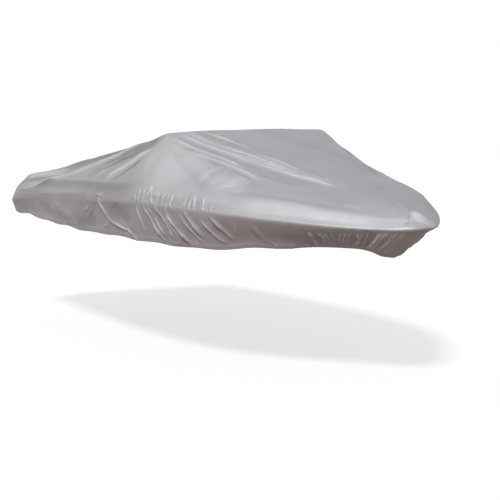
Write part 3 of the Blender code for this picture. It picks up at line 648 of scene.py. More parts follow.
def coarse_net():
    """Places and triangles of the smooth cover: its top, and the skirt all round."""
    rows = rows_along()
    across = np.concatenate([-TOP_RUNS[::-1], TOP_RUNS[1:]])
    station, run = np.meshgrid(rows, across, indexing="ij")
    places = [np.stack([station, run, np.zeros_like(run)], -1).reshape(-1, 3)]
    top = np.arange(station.size).reshape(station.shape)
    # The last row lies folded along the centre line, so its two halves are one row of points.
    middle = len(TOP_RUNS) - 1
    top[-1, middle:] = top[-1, middle::-1]
    faces = [quads(top)]

    # Round the side line: bow tip, starboard side, stern end, port side, bow tip.
    around = np.concatenate([top[:0:-1, 0], top[0], top[1:, -1]])
    rings = [around]
    count = top.size
    lip = places[0][around]
    depth = skirt_depth(lip[:, 0])
    above, top_of_step, below = (1.0 - (HEM_DEPTH + k * HEM_RISE) / depth for k in (1, 0, -1))
    drops = [above * k / SKIRT_ROWS for k in range(1, SKIRT_ROWS + 1)]
    for drop in (*drops, top_of_step, below, 1.0 - HEM_ROUND / depth, 1.0):
        ring = count + np.arange(len(around))
        ring[-1] = ring[0]
        count += len(around)
        row = lip.copy()
        row[:, 2] = drop
        places.append(row)
        rings.append(ring)
    faces.append(quads(np.stack(rings), turned=True))
    return np.concatenate(places), np.concatenate(faces)


def middles(places, ends):
    """Places halfway along the edges. A point on the bow tip belongs to both sides."""
    a, b = places[ends[:, 0]].copy(), places[ends[:, 1]].copy()
    for one, other in ((a, b), (b, a)):
        turned = (one[:, 0] >= LENGTH) & (other[:, 0] < LENGTH) & (one[:, 1] * other[:, 1] < 0)
        one[turned, 1] *= -1
    return 0.5 * (a + b)


def split_long(places, faces, too_long):
    """Splits each edge that is too long at its middle, and the triangles with it."""
    for _ in range(MOST_SPLITS):
        sides = np.sort(np.concatenate([faces[:, [0, 1]], faces[:, [1, 2]], faces[:, [2, 0]]]), axis=1)
        ends, which = np.unique(sides, axis=0, return_inverse=True)
        which = which.reshape(3, -1).T
        points = placed(places)
        length = np.linalg.norm(points[ends[:, 0]] - points[ends[:, 1]], axis=1)
        middle = middles(places, ends)
        long = length > LEAST_EDGE
        reach = points[ends[long, 1]] - points[ends[long, 0]]
        long[long] = too_long(placed(middle[long]), middle[long], reach)
        if not long.any():
            break
        number = np.full(len(ends), -1)
        number[long] = len(places) + np.arange(long.sum())
        places = np.concatenate([places, middle[long]])
        faces = split_faces(faces, number[which])
    return places, faces


def split_faces(faces, new):
    """Triangles after a point is put on some of their edges: new holds its number, or -1 for none."""
    count = (new >= 0).sum(axis=1)
    out = [faces[count == 0]]
    for k in range(3):
        turn = [k, (k + 1) % 3, (k + 2) % 3]
        a, b, c = faces[:, turn].T
        ab, bc, ca = new[:, turn].T
        one = (count == 1) & (ab >= 0)
        out += [np.stack([a, ab, c], 1)[one], np.stack([ab, b, c], 1)[one]]
        two = (count == 2) & (ca < 0)
        out += [np.stack([ab, b, bc], 1)[two], np.stack([a, ab, bc], 1)[two], np.stack([a, bc, c], 1)[two]]
    a, b, c = faces.T
    ab, bc, ca = new.T
    three = count == 3
    for face in ((a, ab, ca), (ab, b, bc), (ca, bc, c), (ab, bc, ca)):
        out.append(np.stack(face, 1)[three])
    return np.concatenate(out)


def facings(points, faces):
    """Each triangle's outward vector, twice its area long."""
    a, b, c = (points[faces[:, k]] for k in range(3))
    return np.cross(b - a, c - a)


def point_normals(points, faces):
    """Outward unit vectors at the points, from triangles."""
    facing = facings(points, faces)
    total = np.zeros_like(points)
    for k in range(3):
        np.add.at(total, faces[:, k], facing)
    return total / np.maximum(np.linalg.norm(total, axis=1, keepdims=True), 1e-12)


# ================================================================ wrinkles


def route(side, places):
    """Points along a wrinkle on the smooth cover, evenly by its places."""
    places = np.array(places, float)
    knots = np.linspace(0.0, 1.0, len(places))
    share = np.linspace(0.0, 1.0, ROUTE_STEPS)
    station, girth = (smooth(share, knots, places[:, k]) for k in (0, 1))
    return on_cloth(side, station, girth)


def all_wrinkles():
    """Every wrinkle as (sharp, side, width, out, lean, places), with those of the fans worked out."""
    rows = [(True, *row) for row in CREASES] + [(False, *row) for row in FOLDS]
    rng = np.random.default_rng(FAN_SEED)
    fans = [(True, *row) for row in FANS] + [(False, *row) for row in SOFT_FANS]
    for sharp, side, count, start_a, start_b, end_a, end_b, width, out, uneven in fans:
        for k in range(count):
            share = (k + 0.5 + uneven * FAN_START * rng.uniform(-1, 1)) / count
            slide = share + uneven * FAN_SLIDE * rng.uniform(-1, 1) / count
            start = np.array(start_a) + (np.array(start_b) - start_a) * share
            end = np.array(end_a) + (np.array(end_b) - end_a) * slide
            own_out = out * (1.0 + FAN_OUT * uneven * rng.uniform(-1, 1))
            own_width = width * (1.0 + FAN_WIDTH * uneven * rng.uniform(-1, 1))
            middle = 0.5 * (start + end)
            middle[0] += FAN_MIDDLE * uneven * rng.uniform(-1, 1)
            low, high = sorted((start[1], end[1]))
            middle[1] = np.clip(middle[1], low + MIDDLE_ROOM, high - MIDDLE_ROOM)
            lean = FAN_LEAN * rng.uniform(-1, 1)
            rows.append((sharp, side, own_width, own_out, lean, (start, middle, end)))
    return rows


def near_route(cloth, side, width, places, lean=0.0):
    """The points of the cloth near a route: their numbers, how far off they are in widths, how far along the
    route the nearest place on it is, and that place."""
    path = route(side, places)
    reach = ROUTE_REACH * width / MILLIMETRES
    lo, hi = path.min(axis=0) - reach, path.max(axis=0) + reach
    near = np.flatnonzero(((cloth.base > lo) & (cloth.base < hi)).all(axis=1))
    points, normals = cloth.base[near], cloth.normals[near]
    start, run = path[:-1], np.diff(path, axis=0)
    size = np.maximum((run * run).sum(axis=1), 1e-12)
    offset = points[:, None, :] - start[None]
    t = np.clip((offset * run).sum(axis=2) / size, 0.0, 1.0)
    away = offset - t[..., None] * run
    distance = np.linalg.norm(away, axis=2)
    best = distance.argmin(axis=1)
    rows = np.arange(len(near))
    right = np.cross(run[best], normals)
    on_right = np.sign((away[rows, best] * right).sum(axis=1))
    own_width = width / MILLIMETRES * (1.0 - lean * on_right)
    along = (best + t[rows, best]) / len(run)
    return near, distance[rows, best] / own_width, along, points - away[rows, best]


def faded(along):
    """1 along the middle of a route, down to 0 at its ends."""
    fade = np.clip(np.minimum(along, 1.0 - along) / ROUTE_ENDS, 0.0, 1.0)
    return fade * fade * (3.0 - 2.0 * fade)


def snap_to_creases(cloth):
    """Moves points into rows along each sharp crease, so that its top or bottom and its sides are crisp."""
    smooth = cloth.base.copy()
    free = np.full(len(cloth.base), True)
    for row in SNAP_ROWS:
        for sharp, side, width, _, _, places in cloth.wrinkles:
            if not sharp:
                continue
            near, off, along, foot = near_route(cloth, side, width, places)
            moved = (np.abs(off - row) < SNAP) & (along > 0.0) & (along < 1.0) & free[near]
            near, off, foot = near[moved], off[moved, None], foot[moved]
            cloth.base[near] = foot + (cloth.base[near] - foot) * row / np.maximum(off, SNAP)
            free[near] = False
    # A triangle that this would turn over or flatten stays as it was.
    for _ in range(SNAP_ROUNDS):
        before, after = facings(smooth, cloth.faces), facings(cloth.base, cloth.faces)
        size = (before * before).sum(axis=1)
        spoilt = np.unique(cloth.faces[(before * after).sum(axis=1) < LEAST_KEPT * size])
        cloth.base[spoilt] = smooth[spoilt]


def wrinkle(cloth, rng, sharp, side, width, out, lean, places):
    """Adds one wrinkle to how far the cloth stands out; a sharp one also adds a painted highlight along its
    top or painted shade along its bottom.
    """
    steps = np.linspace(0, 1, SWELL_STEPS)
    swell = 1.0 + SWELL * np.sin(math.tau * (rng.uniform(*SWELL_TURNS) * steps + rng.uniform()))
    near, off, along, _ = near_route(cloth, side, width, places, lean)
    if sharp:
        profile = np.exp(-CREASE_FALL * (np.sqrt(off * off + CREASE_ROUND**2) - CREASE_ROUND))
    else:
        profile = np.exp(-off * off)
    profile = profile * np.interp(along, steps, swell) * faded(along)
    cloth.out[near] += out / MILLIMETRES * profile
    # A sharp crease paints its raised top lighter as a highlight and its sunk bottom darker as shade.
    if sharp:
        cloth.painted_light[near] += np.clip(out / FULLEST_PAINTED_LIGHT, -1.0, 1.0) * profile**PAINTED_LIGHT_NARROWING


def crease(cloth):
    """Adds every wrinkle, with the same random swells each time."""
    rng = np.random.default_rng(FAN_SEED)
    for row in cloth.wrinkles:
        wrinkle(cloth, rng, *row)


def turnable(cloth, steady):
    """Pairs of triangles whose shared edge could turn: their numbers, its two ends, and the far corners."""
    faces, count = cloth.faces, len(cloth.base)
    sides = np.concatenate([faces, faces[:, [1, 2, 0]], faces[:, [2, 0, 1]]])
    owner = np.tile(np.arange(len(faces)), 3)
    ends = np.sort(sides[:, :2], axis=1)
    order = np.lexsort(ends.T)
    same = (ends[order][1:] == ends[order][:-1]).all(axis=1)
    first, second = order[:-1][same], order[1:][same]
    one, two = owner[first], owner[second]
    (a, b, c), d = sides[first].T, sides[second, 2]

    facing = facings(cloth.base, faces)
    size = np.linalg.norm(facing, axis=1)
    corners = np.stack([a, b, c, d])
    may = (facing[one] * facing[two]).sum(axis=1) > LEAST_FLAT * size[one] * size[two]
    may &= np.ptp(cloth.out[corners], axis=0) > LEAST_SWING
    may &= ~steady[corners].any(axis=0)
    may &= ~np.isin(np.minimum(c, d) * count + np.maximum(c, d), ends @ (count, 1))
    outward = facing[one] + facing[two]
    outward /= np.linalg.norm(outward, axis=1, keepdims=True)
    least = LEAST_KEPT * np.minimum(size[one], size[two])
    for turned in ((a, d, c), (d, b, c)):
        may &= (facings(cloth.base, np.stack(turned, axis=1)) * outward).sum(axis=1) > least
    return [k[may] for k in (one, two, a, b, c, d)]


def middle_error(cloth, a, b):
    """How far the wrinkled cloth is from the middle of each edge between points a and b."""
    way = cloth.normals[a] + cloth.normals[b]
    spot = SimpleNamespace(
        base=0.5 * (cloth.base[a] + cloth.base[b]),
        normals=way / np.linalg.norm(way, axis=1, keepdims=True),
        out=np.zeros(len(a)),
        painted_light=np.zeros(len(a)),
        wrinkles=cloth.wrinkles,
    )
    crease(spot)
    return np.abs(spot.out - 0.5 * (cloth.out[a] + cloth.out[b]))


def turn_edges(cloth):
    """Turns the shared edge of two triangles wherever their other diagonal keeps closer to the wrinkles."""
    near_hem = cloth.above_hem < HEM_DEPTH + 2.0 * HEM_RISE
    for _ in range(TURN_PASSES):
        one, two, a, b, c, d = turnable(cloth, near_hem)
        gain = middle_error(cloth, a, b) - middle_error(cloth, c, d)
        used, made = np.full(len(cloth.faces), False), set()
        for k in np.argsort(-gain):
            if gain[k] < LEAST_GAIN:
                break
            diagonal = (min(c[k], d[k]), max(c[k], d[k]))
            if used[one[k]] or used[two[k]] or diagonal in made:
                continue
            used[one[k]] = used[two[k]] = True
            made.add(diagonal)
            cloth.faces[one[k]] = a[k], d[k], c[k]
            cloth.faces[two[k]] = d[k], b[k], c[k]


def paint_bands(cloth):
    """Adds the bands of painted highlight and painted shade to the light and shade painted along the creases.
    """
    for side, width, painted_amount, places in PAINTED_BANDS:
        near, off, along, _ = near_route(cloth, side, width, places)
        cloth.painted_light[near] += painted_amount * np.exp(-(off**4)) * faded(along)


class Cloth:
    """The smooth net, finer where wrinkles run, with how far each point moves out."""

    def __init__(self):
        places, faces = coarse_net()
        self.wrinkles = all_wrinkles()
        self.places, self.faces = split_long(places, faces, self.edge_test())
        used = np.unique(self.faces)
        number = np.full(len(self.places), -1)
        number[used] = np.arange(len(used))
        self.places, self.faces = self.places[used], number[self.faces]
        self.base = placed(self.places)
        self.normals = point_normals(self.base, self.faces)
        self.out = np.zeros(len(self.base))
        # Light and shade painted into the coat's colour: above 0 a painted highlight, below 0 painted shade.
        self.painted_light = np.zeros(len(self.base))

        station, run, drop = self.places.T
        self.on_skirt = (drop > 0) | (np.abs(run) >= CENTRE - SIDE)
        self.above_hem = skirt_depth(station) * (1.0 - drop)
        self.above_hem[~self.on_skirt] = 1.0
        stern = (station <= 0) & (np.abs(run) < CENTRE - SIDE)
        self.stern = stern & (drop > 0)
        half = on_cloth(PORT, 0.0, SIDE)[1]
        self.around = np.where(stern, self.base[:, 1], np.where(run < 0, STARBOARD, PORT) * (station + half))
        self.around /= LENGTH + half

    def edge_test(self):
        """Tells which edges are too long, from the wrinkles near them and the bends of the cover."""
        paths = [route(side, places) for _, side, _, _, _, places in self.wrinkles]
        tree = kdtree.KDTree(ROUTE_STEPS * len(paths))
        for k, point in enumerate(np.concatenate(paths)):
            tree.insert(point, k)
        tree.balance()
        widths = np.repeat([row[2] / MILLIMETRES for row in self.wrinkles], ROUTE_STEPS)
        along = np.concatenate([np.gradient(path, axis=0) for path in paths])
        along /= np.linalg.norm(along, axis=1, keepdims=True)

        def too_long(points, places, reach):
            found = [tree.find(point)[1:] for point in points]
            index, distance = np.array([f[0] for f in found]), np.array([f[1] for f in found])
            width = widths[index]
            limit = EDGE_PER_WIDTH * width + EDGE_GROWTH * np.maximum(distance - EDGE_NEAR * width, 0.0)
            length = np.linalg.norm(reach, axis=1)
            lengthwise = np.abs((reach * along[index]).sum(axis=1))
            crosswise = np.sqrt(np.maximum(length**2 - lengthwise**2, 0.0))
            too = np.hypot(crosswise, lengthwise * EDGE_STRETCH) > limit

            station, run, drop = places.T
            above_hem = skirt_depth(station) * (1.0 - drop)
            bend = np.abs(np.abs(run) - (CENTRE - SIDE)) + drop < SIDE_BEND
            bend |= np.abs(station - PEAK_STATION) < PEAK_BEND
            too |= length > PLAIN_EDGE
            too |= (length > HEM_EDGE) & (drop > 0) & (above_hem < HEM_FINE * HEM_DEPTH)
            too |= (length > BEND_EDGE) & bend
            return too

        return too_long

    def drawn(self):
        """The points of the wrinkled cloth."""
        return self.base + self.out[:, None] * self.normals


def step(x, start, end):
    """A smooth step from 0 at the start to 1 at the end."""
    t = np.clip((x - start) / (end - start), 0.0, 1.0)
    return t * t * (3.0 - 2.0 * t)


def unevenness(cloth):
    """Slow random rises and dips of the cloth, least where the fore panel and the cover's front are taut."""
    station, run, drop = cloth.places.T
    panel, front = (step(station, *at) * step(np.abs(run), *off) for at, off in (TAUT_PANEL, TAUT_FRONT))
    slack = 1.0 - TAUT_SHARE * np.maximum(panel, front)
    across = run + np.sign(run) * drop
    for length, width, depth in UNEVEN:
        spots = (Vector((u / length, v * GIRTH_UNIT / width, 0.0)) for u, v in zip(station, across))
        cloth.out += slack * depth * np.array([noise.noise(spot + UNEVEN_PLACE) for spot in spots])


def spots(cloth):
    """Adds the raised and the drawn-in spots."""
    for side, station, girth, reach, height in SPOTS:
        place = on_cloth(side, np.array([station]), np.array([girth]))[0]
        distance = np.linalg.norm(cloth.base - place, axis=1) * MILLIMETRES / reach
        cloth.out += height / MILLIMETRES * np.exp(-distance * np.sqrt(distance**2 + SPOT_ROUND))


def shaped_cloth():
    """The cloth with all that stands out on it worked out, and the points of its outer face."""
    cloth = Cloth()
    snap_to_creases(cloth)
    crease(cloth)
    turn_edges(cloth)
    unevenness(cloth)
    paint_bands(cloth)
    spots(cloth)

    # The skirt's gathers across the stern end, and the hem's dips and turned edge.
    drop = cloth.places[:, 2]
    corner_fade = np.clip((1.0 - np.abs(cloth.base[:, 1]) / STERN_HALF) / STERN_FADE, 0.0, 1.0)
    gather = np.sin(STERN_GATHERS * math.pi * cloth.base[:, 1]) * drop**STERN_GATHER_GROWTH * corner_fade
    cloth.out += STERN_GATHER_DEPTH * gather * cloth.stern
    cloth.out += HEM_STEP * np.clip(1.0 - (cloth.above_hem - HEM_DEPTH) / HEM_RISE, 0.0, 1.0)
    points = cloth.drawn()
    for count, dip, turned in HEM_WAVES:
        points[:, 2] += dip * np.sin(math.pi * count * cloth.around + turned) * drop**2 * cloth.on_skirt
    return cloth, points - ORIGIN


# ================================================================ pieces


def weave_map(cloth, mesh):
    """A flat map of the cloth in metres: along the cover, and round it from the centre line."""
    layer = mesh.uv_layers.new(name="weave")
    station, run, drop = cloth.places.T
    rows, steps = rows_along(), np.linspace(CENTRE, HEM, WEAVE_STEPS)
    sections = on_cloth(PORT, rows[:, None], steps[None, :])
    gaps = np.linalg.norm(np.diff(sections, axis=1), axis=2)
    lengths = np.concatenate([np.zeros((len(rows), 1)), np.cumsum(gaps, axis=1)], axis=1)
    row = np.interp(station, rows, np.arange(len(rows)))
    column = (np.abs(run) + drop) / CENTRE * (len(steps) - 1)
    i, j = np.minimum(row.astype(int), len(rows) - 2), np.minimum(column.astype(int), len(steps) - 2)
    p, q = row - i, column - j
    near = lengths[i, j] * (1 - p) + lengths[i + 1, j] * p
    far = lengths[i, j + 1] * (1 - p) + lengths[i + 1, j + 1] * p
    flat = np.stack([station, np.sign(run) * (near * (1 - q) + far * q)], axis=1)
    loops = np.empty(len(mesh.loops), int)
    mesh.loops.foreach_get("vertex_index", loops)
    layer.data.foreach_set("uv", flat[loops].ravel())


def cover_piece(cloth, points, material):
    """The cover: its outer face with the weave's map and the light and shade painted into its colour, and its
    thickness.
    """
    mesh = bpy.data.meshes.new("boat_cover")
    mesh.from_pydata(points.tolist(), [], cloth.faces.tolist())
    weave_map(cloth, mesh)
    piece = bpy.data.objects.new("boat_cover", mesh)
    bpy.context.scene.collection.objects.link(piece)
    # The painted highlights and painted shade are stored as a point attribute, with 0.5 for none.
    painted_light = mesh.attributes.new("painted_light", "FLOAT", "POINT")
    painted_light.data.foreach_set("value", 0.5 + 0.5 * np.clip(cloth.painted_light, -1.0, 1.0))
    station, run, drop = cloth.places.T
    chalked = mesh.attributes.new("chalked", "FLOAT", "POINT")
    chalked.data.foreach_set("value", step(station, *CHALK_STATIONS) * step(np.abs(run) + drop, *CHALK_RUNS))
    mesh.shade_smooth()
    mesh.materials.append(material)
    sheet = piece.modifiers.new("sheet", "SOLIDIFY")
    sheet.thickness = THICKNESS
    sheet.offset = -1.0
    sheet.use_even_offset = False
    return piece


def join(tree, *links):
    """Joins sockets of a node tree, each pair as (output, input)."""
    for source, target in links:
        tree.links.new(source, target)


def node(tree, kind, inputs=None, **settings):
    """Adds a node, with its settings and the values of its inputs by name."""
    made = tree.nodes.new(kind)
    for name, value in settings.items():
        setattr(made, name, value)
    for name, value in (inputs or {}).items():
        made.inputs[name].default_value = value
    return made


def colour_ramp(tree, *stops):
    """Adds a colour ramp with its stops as (position, colour)."""
    made = node(tree, "ShaderNodeValToRGB")
    elements = made.color_ramp.elements
    for element, (position, colour) in zip(elements, (stops[0], stops[-1])):
        element.position, element.color = position, (*colour, 1.0)
    for position, colour in stops[1:-1]:
        elements.new(position).color = (*colour, 1.0)
    return made


def new_material(name, **inputs):
    """A material with its shader's inputs set, as (material, node tree, shader)."""
    material = bpy.data.materials.new(name)
    material.use_nodes = True
    shader = material.node_tree.nodes["Principled BSDF"]
    for socket, value in inputs.items():
        shader.inputs[socket.replace("_", " ")].default_value = value
    return material, material.node_tree, shader


def cloth_material():
    """Silver-grey coated polyester: plain weave under a thin coat, its colour and gloss mottled at random,
    with highlights and shade painted into the colour along the creases and in bands.
    """
    material, tree, shader = new_material(
        "coated_cloth", Metallic=0.35, IOR=1.45, Sheen_Weight=0.08, Sheen_Roughness=0.5
    )
    place = node(tree, "ShaderNodeUVMap", uv_map="weave")
    around = node(tree, "ShaderNodeTexCoord")

    # Painted light and shade: the attribute turns the coat's colour lighter, up to white, as a painted
    # highlight, and darker as painted shade.
    painted_light = node(tree, "ShaderNodeAttribute", attribute_name="painted_light")
    painted_light_ramp = colour_ramp(tree, (0.0, (0.50, 0.495, 0.49)), (0.5, (0.72, 0.72, 0.72)), (1.0, (1.0, 1.0, 1.0)))
    coat = node(tree, "ShaderNodeMix", {"Factor": 1.0}, data_type="RGBA", blend_type="MULTIPLY")
    mottle = node(tree, "ShaderNodeTexNoise", {"Scale": 3.5, "Detail": 6.0, "Roughness": 0.6})
    tint = colour_ramp(tree, (0.32, (0.55, 0.55, 0.57)), (0.68, (0.62, 0.62, 0.643)))
    join(
        tree,
        (around.outputs["Object"], mottle.inputs["Vector"]),
        (mottle.outputs["Fac"], tint.inputs["Fac"]),
        (painted_light.outputs["Fac"], painted_light_ramp.inputs["Fac"]),
        (tint.outputs["Color"], coat.inputs["A"]),
        (painted_light_ramp.outputs["Color"], coat.inputs["B"]),
        (coat.outputs["Result"], shader.inputs["Base Color"]),
    )

    # Threads of the plain weave, and small crinkles of the coat.
    weave = node(tree, "ShaderNodeMath", operation="MAXIMUM")
    for slot, direction in enumerate(("X", "Y")):
        threads = node(
            tree, "ShaderNodeTexWave", {"Scale": 95.0, "Distortion": 0.6, "Detail": 1.0},
            wave_type="BANDS", bands_direction=direction,
        )
        across = threads.outputs["Fac"]
        join(tree, (place.outputs["UV"], threads.inputs["Vector"]), (across, weave.inputs[slot]))
    crinkle = node(tree, "ShaderNodeTexNoise", {"Scale": 22.0, "Detail": 5.0, "Roughness": 0.55})
    coarse = node(tree, "ShaderNodeBump", {"Strength": 0.35, "Distance": 0.004})
    fine = node(tree, "ShaderNodeBump", {"Strength": 0.12, "Distance": 0.0006})
    gloss = node(tree, "ShaderNodeMapRange", {"To Min": 0.52, "To Max": 0.64})
    chalked = node(tree, "ShaderNodeAttribute", attribute_name="chalked")
    rough = node(tree, "ShaderNodeMix", {"B": CHALK_ROUGHNESS})
    join(
        tree,
        (around.outputs["Object"], crinkle.inputs["Vector"]),
        (crinkle.outputs["Fac"], coarse.inputs["Height"]),
        (weave.outputs["Value"], fine.inputs["Height"]),
        (coarse.outputs["Normal"], fine.inputs["Normal"]),
        (fine.outputs["Normal"], shader.inputs["Normal"]),
        (mottle.outputs["Fac"], gloss.inputs["Value"]),
        (chalked.outputs["Fac"], rough.inputs["Factor"]),
        (gloss.outputs["Result"], rough.inputs["A"]),
        (rough.outputs["Result"], shader.inputs["Roughness"]),
    )
    return material


# ================================================================ stitches


def stitch_line(cloth, points):
    """A closed line on the finished cloth, a little above the hem, and the way out of the cloth along it."""
    along = LENGTH * (1.0 - np.linspace(0.0, 1.0, STITCH_SAMPLES) ** 2)
    across = np.linspace(-1.0, 1.0, STITCH_STERN_SAMPLES)[1:-1] * (CENTRE - SIDE)
    station = np.concatenate([along, np.zeros(len(across)), along[-1:0:-1]])
    run = np.concatenate([np.full(len(along), SIDE - CENTRE), across, np.full(len(along) - 1, CENTRE - SIDE)])
    line = placed(np.stack([station, run, 1.0 - STITCH_UP / skirt_depth(station)], axis=1))
    smooth = bvhtree.BVHTree.FromPolygons(cloth.base.tolist(), cloth.faces.tolist())
    normals = point_normals(points, cloth.faces)
    spots, outward = [], []
    for point in line:
        place, _, face, _ = smooth.find_nearest(Vector(point))
        corners = cloth.faces[face]
        flat = [Vector(cloth.base[k]) for k in corners]
        spots.append(geometry.barycentric_transform(place, *flat, *(Vector(points[k]) for k in corners)))
        outward.append(geometry.barycentric_transform(place, *flat, *(Vector(normals[k]) for k in corners)))
    return spots, outward


def stitch_tree():
    """Geometry nodes that lay one stitch after another along a line."""
    tree = bpy.data.node_groups.new("stitches", "GeometryNodeTree")
    sockets = {}
    for name, kind, value in (
        ("Line", "Geometry", None),
        ("Pitch", "Float", STITCH_PITCH),
        ("Length", "Float", STITCH_LENGTH),
        ("Thread", "Float", STITCH_THREAD),
        ("Unevenness", "Float", STITCH_UNEVEN),
        ("Seed", "Int", STITCH_SEED),
        ("Finish", "Material", None),
    ):
        socket = tree.interface.new_socket(name, in_out="INPUT", socket_type=f"NodeSocket{kind}")
        sockets[name] = (socket.identifier, value)
    tree.interface.new_socket("Stitches", in_out="OUTPUT", socket_type="NodeSocketGeometry")

    given = node(tree, "NodeGroupInput")
    line = node(tree, "GeometryNodeMeshToCurve")
    even = node(tree, "GeometryNodeResampleCurve", mode="LENGTH")
    tangent = node(tree, "GeometryNodeInputTangent")
    outward = node(tree, "GeometryNodeInputNamedAttribute", {"Name": "outward"}, data_type="FLOAT_VECTOR")
    turn = node(tree, "FunctionNodeAxesToRotation", primary_axis="X", secondary_axis="Z")
    least, most = (node(tree, "ShaderNodeMath", {0: 1.0}, operation=kind) for kind in ("SUBTRACT", "ADD"))
    share = node(tree, "FunctionNodeRandomValue", data_type="FLOAT")
    length = node(tree, "ShaderNodeMath", operation="MULTIPLY")
    size = node(tree, "ShaderNodeCombineXYZ")
    half = node(tree, "ShaderNodeVectorMath", {"Scale": 0.5}, operation="SCALE")
    stitch = node(tree, "GeometryNodeMeshIcoSphere", {"Radius": 1.0, "Subdivisions": 1})
    copies = node(tree, "GeometryNodeInstanceOnPoints")
    real = node(tree, "GeometryNodeRealizeInstances")
    round_off = node(tree, "GeometryNodeSetShadeSmooth")
    finish = node(tree, "GeometryNodeSetMaterial")
    out = node(tree, "NodeGroupOutput")
    share_ends = [k for k in share.inputs if k.name in ("Min", "Max") and k.type == "VALUE"]
    share_value = next(k for k in share.outputs if k.type == "VALUE")
    join(
        tree,
        (given.outputs["Line"], line.inputs["Mesh"]),
        (line.outputs["Curve"], even.inputs["Curve"]),
        (given.outputs["Pitch"], even.inputs["Length"]),
        (tangent.outputs["Tangent"], turn.inputs["Primary Axis"]),
        (outward.outputs["Attribute"], turn.inputs["Secondary Axis"]),
        (given.outputs["Unevenness"], least.inputs[1]),
        (given.outputs["Unevenness"], most.inputs[1]),
        (least.outputs["Value"], share_ends[0]),
        (most.outputs["Value"], share_ends[1]),
        (given.outputs["Seed"], share.inputs["Seed"]),
        (share_value, length.inputs[0]),
        (given.outputs["Length"], length.inputs[1]),
        (length.outputs["Value"], size.inputs["X"]),
        (given.outputs["Thread"], size.inputs["Y"]),
        (given.outputs["Thread"], size.inputs["Z"]),
        (size.outputs["Vector"], half.inputs["Vector"]),
        (even.outputs["Curve"], copies.inputs["Points"]),
        (stitch.outputs["Mesh"], copies.inputs["Instance"]),
        (turn.outputs["Rotation"], copies.inputs["Rotation"]),
        (half.outputs["Vector"], copies.inputs["Scale"]),
        (copies.outputs["Instances"], real.inputs["Geometry"]),
        (real.outputs["Geometry"], round_off.inputs["Geometry"]),
        (round_off.outputs["Geometry"], finish.inputs["Geometry"]),
        (given.outputs["Finish"], finish.inputs["Material"]),
        (finish.outputs["Geometry"], out.inputs["Stitches"]),
    )
    return tree, sockets


def stitches_piece(cloth, points, material):
    """The stitches of the hem, laid by the geometry nodes and turned into a plain mesh."""
    spots, outward = stitch_line(cloth, points)
    mesh = bpy.data.meshes.new("stitch_line")
    count = len(spots)
    mesh.from_pydata(spots, [(k, (k + 1) % count) for k in range(count)], [])
    way = mesh.attributes.new("outward", "FLOAT_VECTOR", "POINT")
    way.data.foreach_set("vector", np.array(outward).ravel())
    line = bpy.data.objects.new("stitch_line", mesh)
    bpy.context.scene.collection.objects.link(line)
    tree, sockets = stitch_tree()
    laid = line.modifiers.new("stitches", "NODES")
    laid.node_group = tree
    for identifier, value in sockets.values():
        if value is not None:
            laid[identifier] = value
    laid[sockets["Finish"][0]] = material
    graph = bpy.context.evaluated_depsgraph_get()
    laid_line = line.evaluated_get(graph)
    made = bpy.data.meshes.new_from_object(laid_line, preserve_all_data_layers=True, depsgraph=graph)
    made.name = "hem_stitches"
    bpy.data.objects.remove(line)
    piece = bpy.data.objects.new("hem_stitches", made)
    bpy.context.scene.collection.objects.link(piece)
    return piece


def thread_material():
    """Polyester sewing thread, a shade lighter than the cloth, with the rope-like turns of its plies."""
    material, tree, shader = new_material("thread", Roughness=0.55, Sheen_Weight=0.2)
    place = node(tree, "ShaderNodeTexCoord")
    soil = node(tree, "ShaderNodeTexNoise", {"Scale": 9.0, "Detail": 3.0})
    tint = colour_ramp(tree, (0.35, (0.40, 0.39, 0.39)), (0.65, (0.56, 0.56, 0.57)))
    plies = node(tree, "ShaderNodeTexWave", {"Scale": 420.0}, bands_direction="DIAGONAL")
    relief = node(tree, "ShaderNodeBump", {"Strength": 0.5, "Distance": 0.0003})
    join(
        tree,
        (place.outputs["Object"], soil.inputs["Vector"]),
        (soil.outputs["Fac"], tint.inputs["Fac"]),
        (tint.outputs["Color"], shader.inputs["Base Color"]),
        (place.outputs["Object"], plies.inputs["Vector"]),
        (plies.outputs["Fac"], relief.inputs["Height"]),
        (relief.outputs["Normal"], shader.inputs["Normal"]),
    )
    return material


# ================================================================ studio


def add_camera():
    """A long lens level with the top of the ridge, looking slightly down."""
    data = bpy.data.cameras.new("camera")
    data.lens = CAMERA_LENS
    data.sensor_width = 36.0
    data.clip_end = 400.0
    camera = bpy.data.objects.new("camera", data)
    camera.location = CAMERA_PLACE
    flat = math.cos(CAMERA_PITCH)
    aim = Vector((-math.cos(CAMERA_YAW) * flat, math.sin(CAMERA_YAW) * flat, -math.sin(CAMERA_PITCH)))
    camera.rotation_euler = aim.to_track_quat("-Z", "Y").to_euler()
    bpy.context.scene.collection.objects.link(camera)
    bpy.context.scene.camera = camera


def add_key():
    """One broad soft sun, from the front, the starboard side and above."""
    data = bpy.data.lights.new("key", "SUN")
    data.energy = KEY_STRENGTH
    data.angle = KEY_ANGLE
    data.color = KEY_COLOUR
    light = bpy.data.objects.new("key", data)
    light.rotation_euler = Vector(KEY_FROM).to_track_quat("Z", "Y").to_euler()
    bpy.context.scene.collection.objects.link(light)


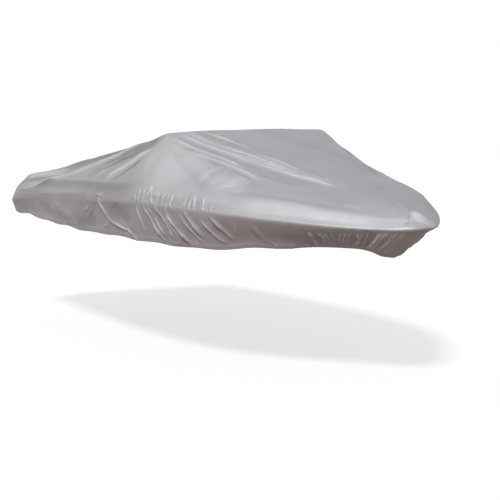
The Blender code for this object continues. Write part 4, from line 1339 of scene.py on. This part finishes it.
def stage_piece(name, mesh, colour, glow):
    """A floor or backdrop that is seen, but adds no light to the cover."""
    piece = bpy.data.objects.new(name, mesh)
    bpy.context.scene.collection.objects.link(piece)
    material, _, _ = new_material(
        name, Base_Color=(colour, colour, colour, 1.0), Roughness=1.0, Specular_IOR_Level=0.0,
        Emission_Color=(1.0, 1.0, 1.0, 1.0), Emission_Strength=glow,
    )
    mesh.materials.append(material)
    piece.visible_diffuse = False
    piece.visible_glossy = False
    piece.visible_transmission = False
    piece.visible_shadow = False
    piece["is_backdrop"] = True


def add_stage():
    """A round floor that takes the shadow, and a white dome round everything."""
    floor = bpy.data.meshes.new("floor")
    ring = [math.tau * k / STAGE_SIDES for k in range(STAGE_SIDES)]
    rim = [(STAGE * math.cos(a), STAGE * math.sin(a), GROUND) for a in ring]
    floor.from_pydata(rim, [], [range(STAGE_SIDES)])
    stage_piece("floor", floor, *FLOOR_LOOK)
    shape = bmesh.new()
    bmesh.ops.create_uvsphere(shape, u_segments=STAGE_SIDES, v_segments=STAGE_SIDES // 2, radius=STAGE)
    dome = bpy.data.meshes.new("dome")
    shape.to_mesh(dome)
    shape.free()
    stage_piece("dome", dome, 0.0, 1.0)


def add_sky():
    """Soft studio surround: cool and pale above, darker and warmer below."""
    world = bpy.data.worlds.new("studio")
    bpy.context.scene.world = world
    world.use_nodes = True
    tree = world.node_tree
    place = node(tree, "ShaderNodeTexCoord")
    split = node(tree, "ShaderNodeSeparateXYZ")
    height = node(tree, "ShaderNodeMapRange", {"From Min": -SKYLINE, "From Max": SKYLINE})
    lights = {"A": (*GROUND_LIGHT, 1.0), "B": (*SKY_LIGHT, 1.0)}
    colour = node(tree, "ShaderNodeMix", lights, data_type="RGBA")
    join(
        tree,
        (place.outputs["Generated"], split.inputs["Vector"]),
        (split.outputs["Z"], height.inputs["Value"]),
        (height.outputs["Result"], colour.inputs["Factor"]),
        (colour.outputs["Result"], tree.nodes["Background"].inputs["Color"]),
    )


def main():
    """Sets up the studio, makes the pieces and ties them to the frame."""
    add_camera()
    add_stage()
    add_sky()
    add_key()
    bpy.context.scene.view_settings.view_transform = "Standard"

    cloth, points = shaped_cloth()
    cover = cover_piece(cloth, points, cloth_material())
    stitches = stitches_piece(cloth, points, thread_material())
    for piece in (cover, stitches):
        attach(piece, "root")
    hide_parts("cover_cloth")

    boxes = {"cad": cad_box, "visual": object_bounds()}
    {name: [list(map(float, corner)) for corner in box] for name, box in boxes.items()}


main()
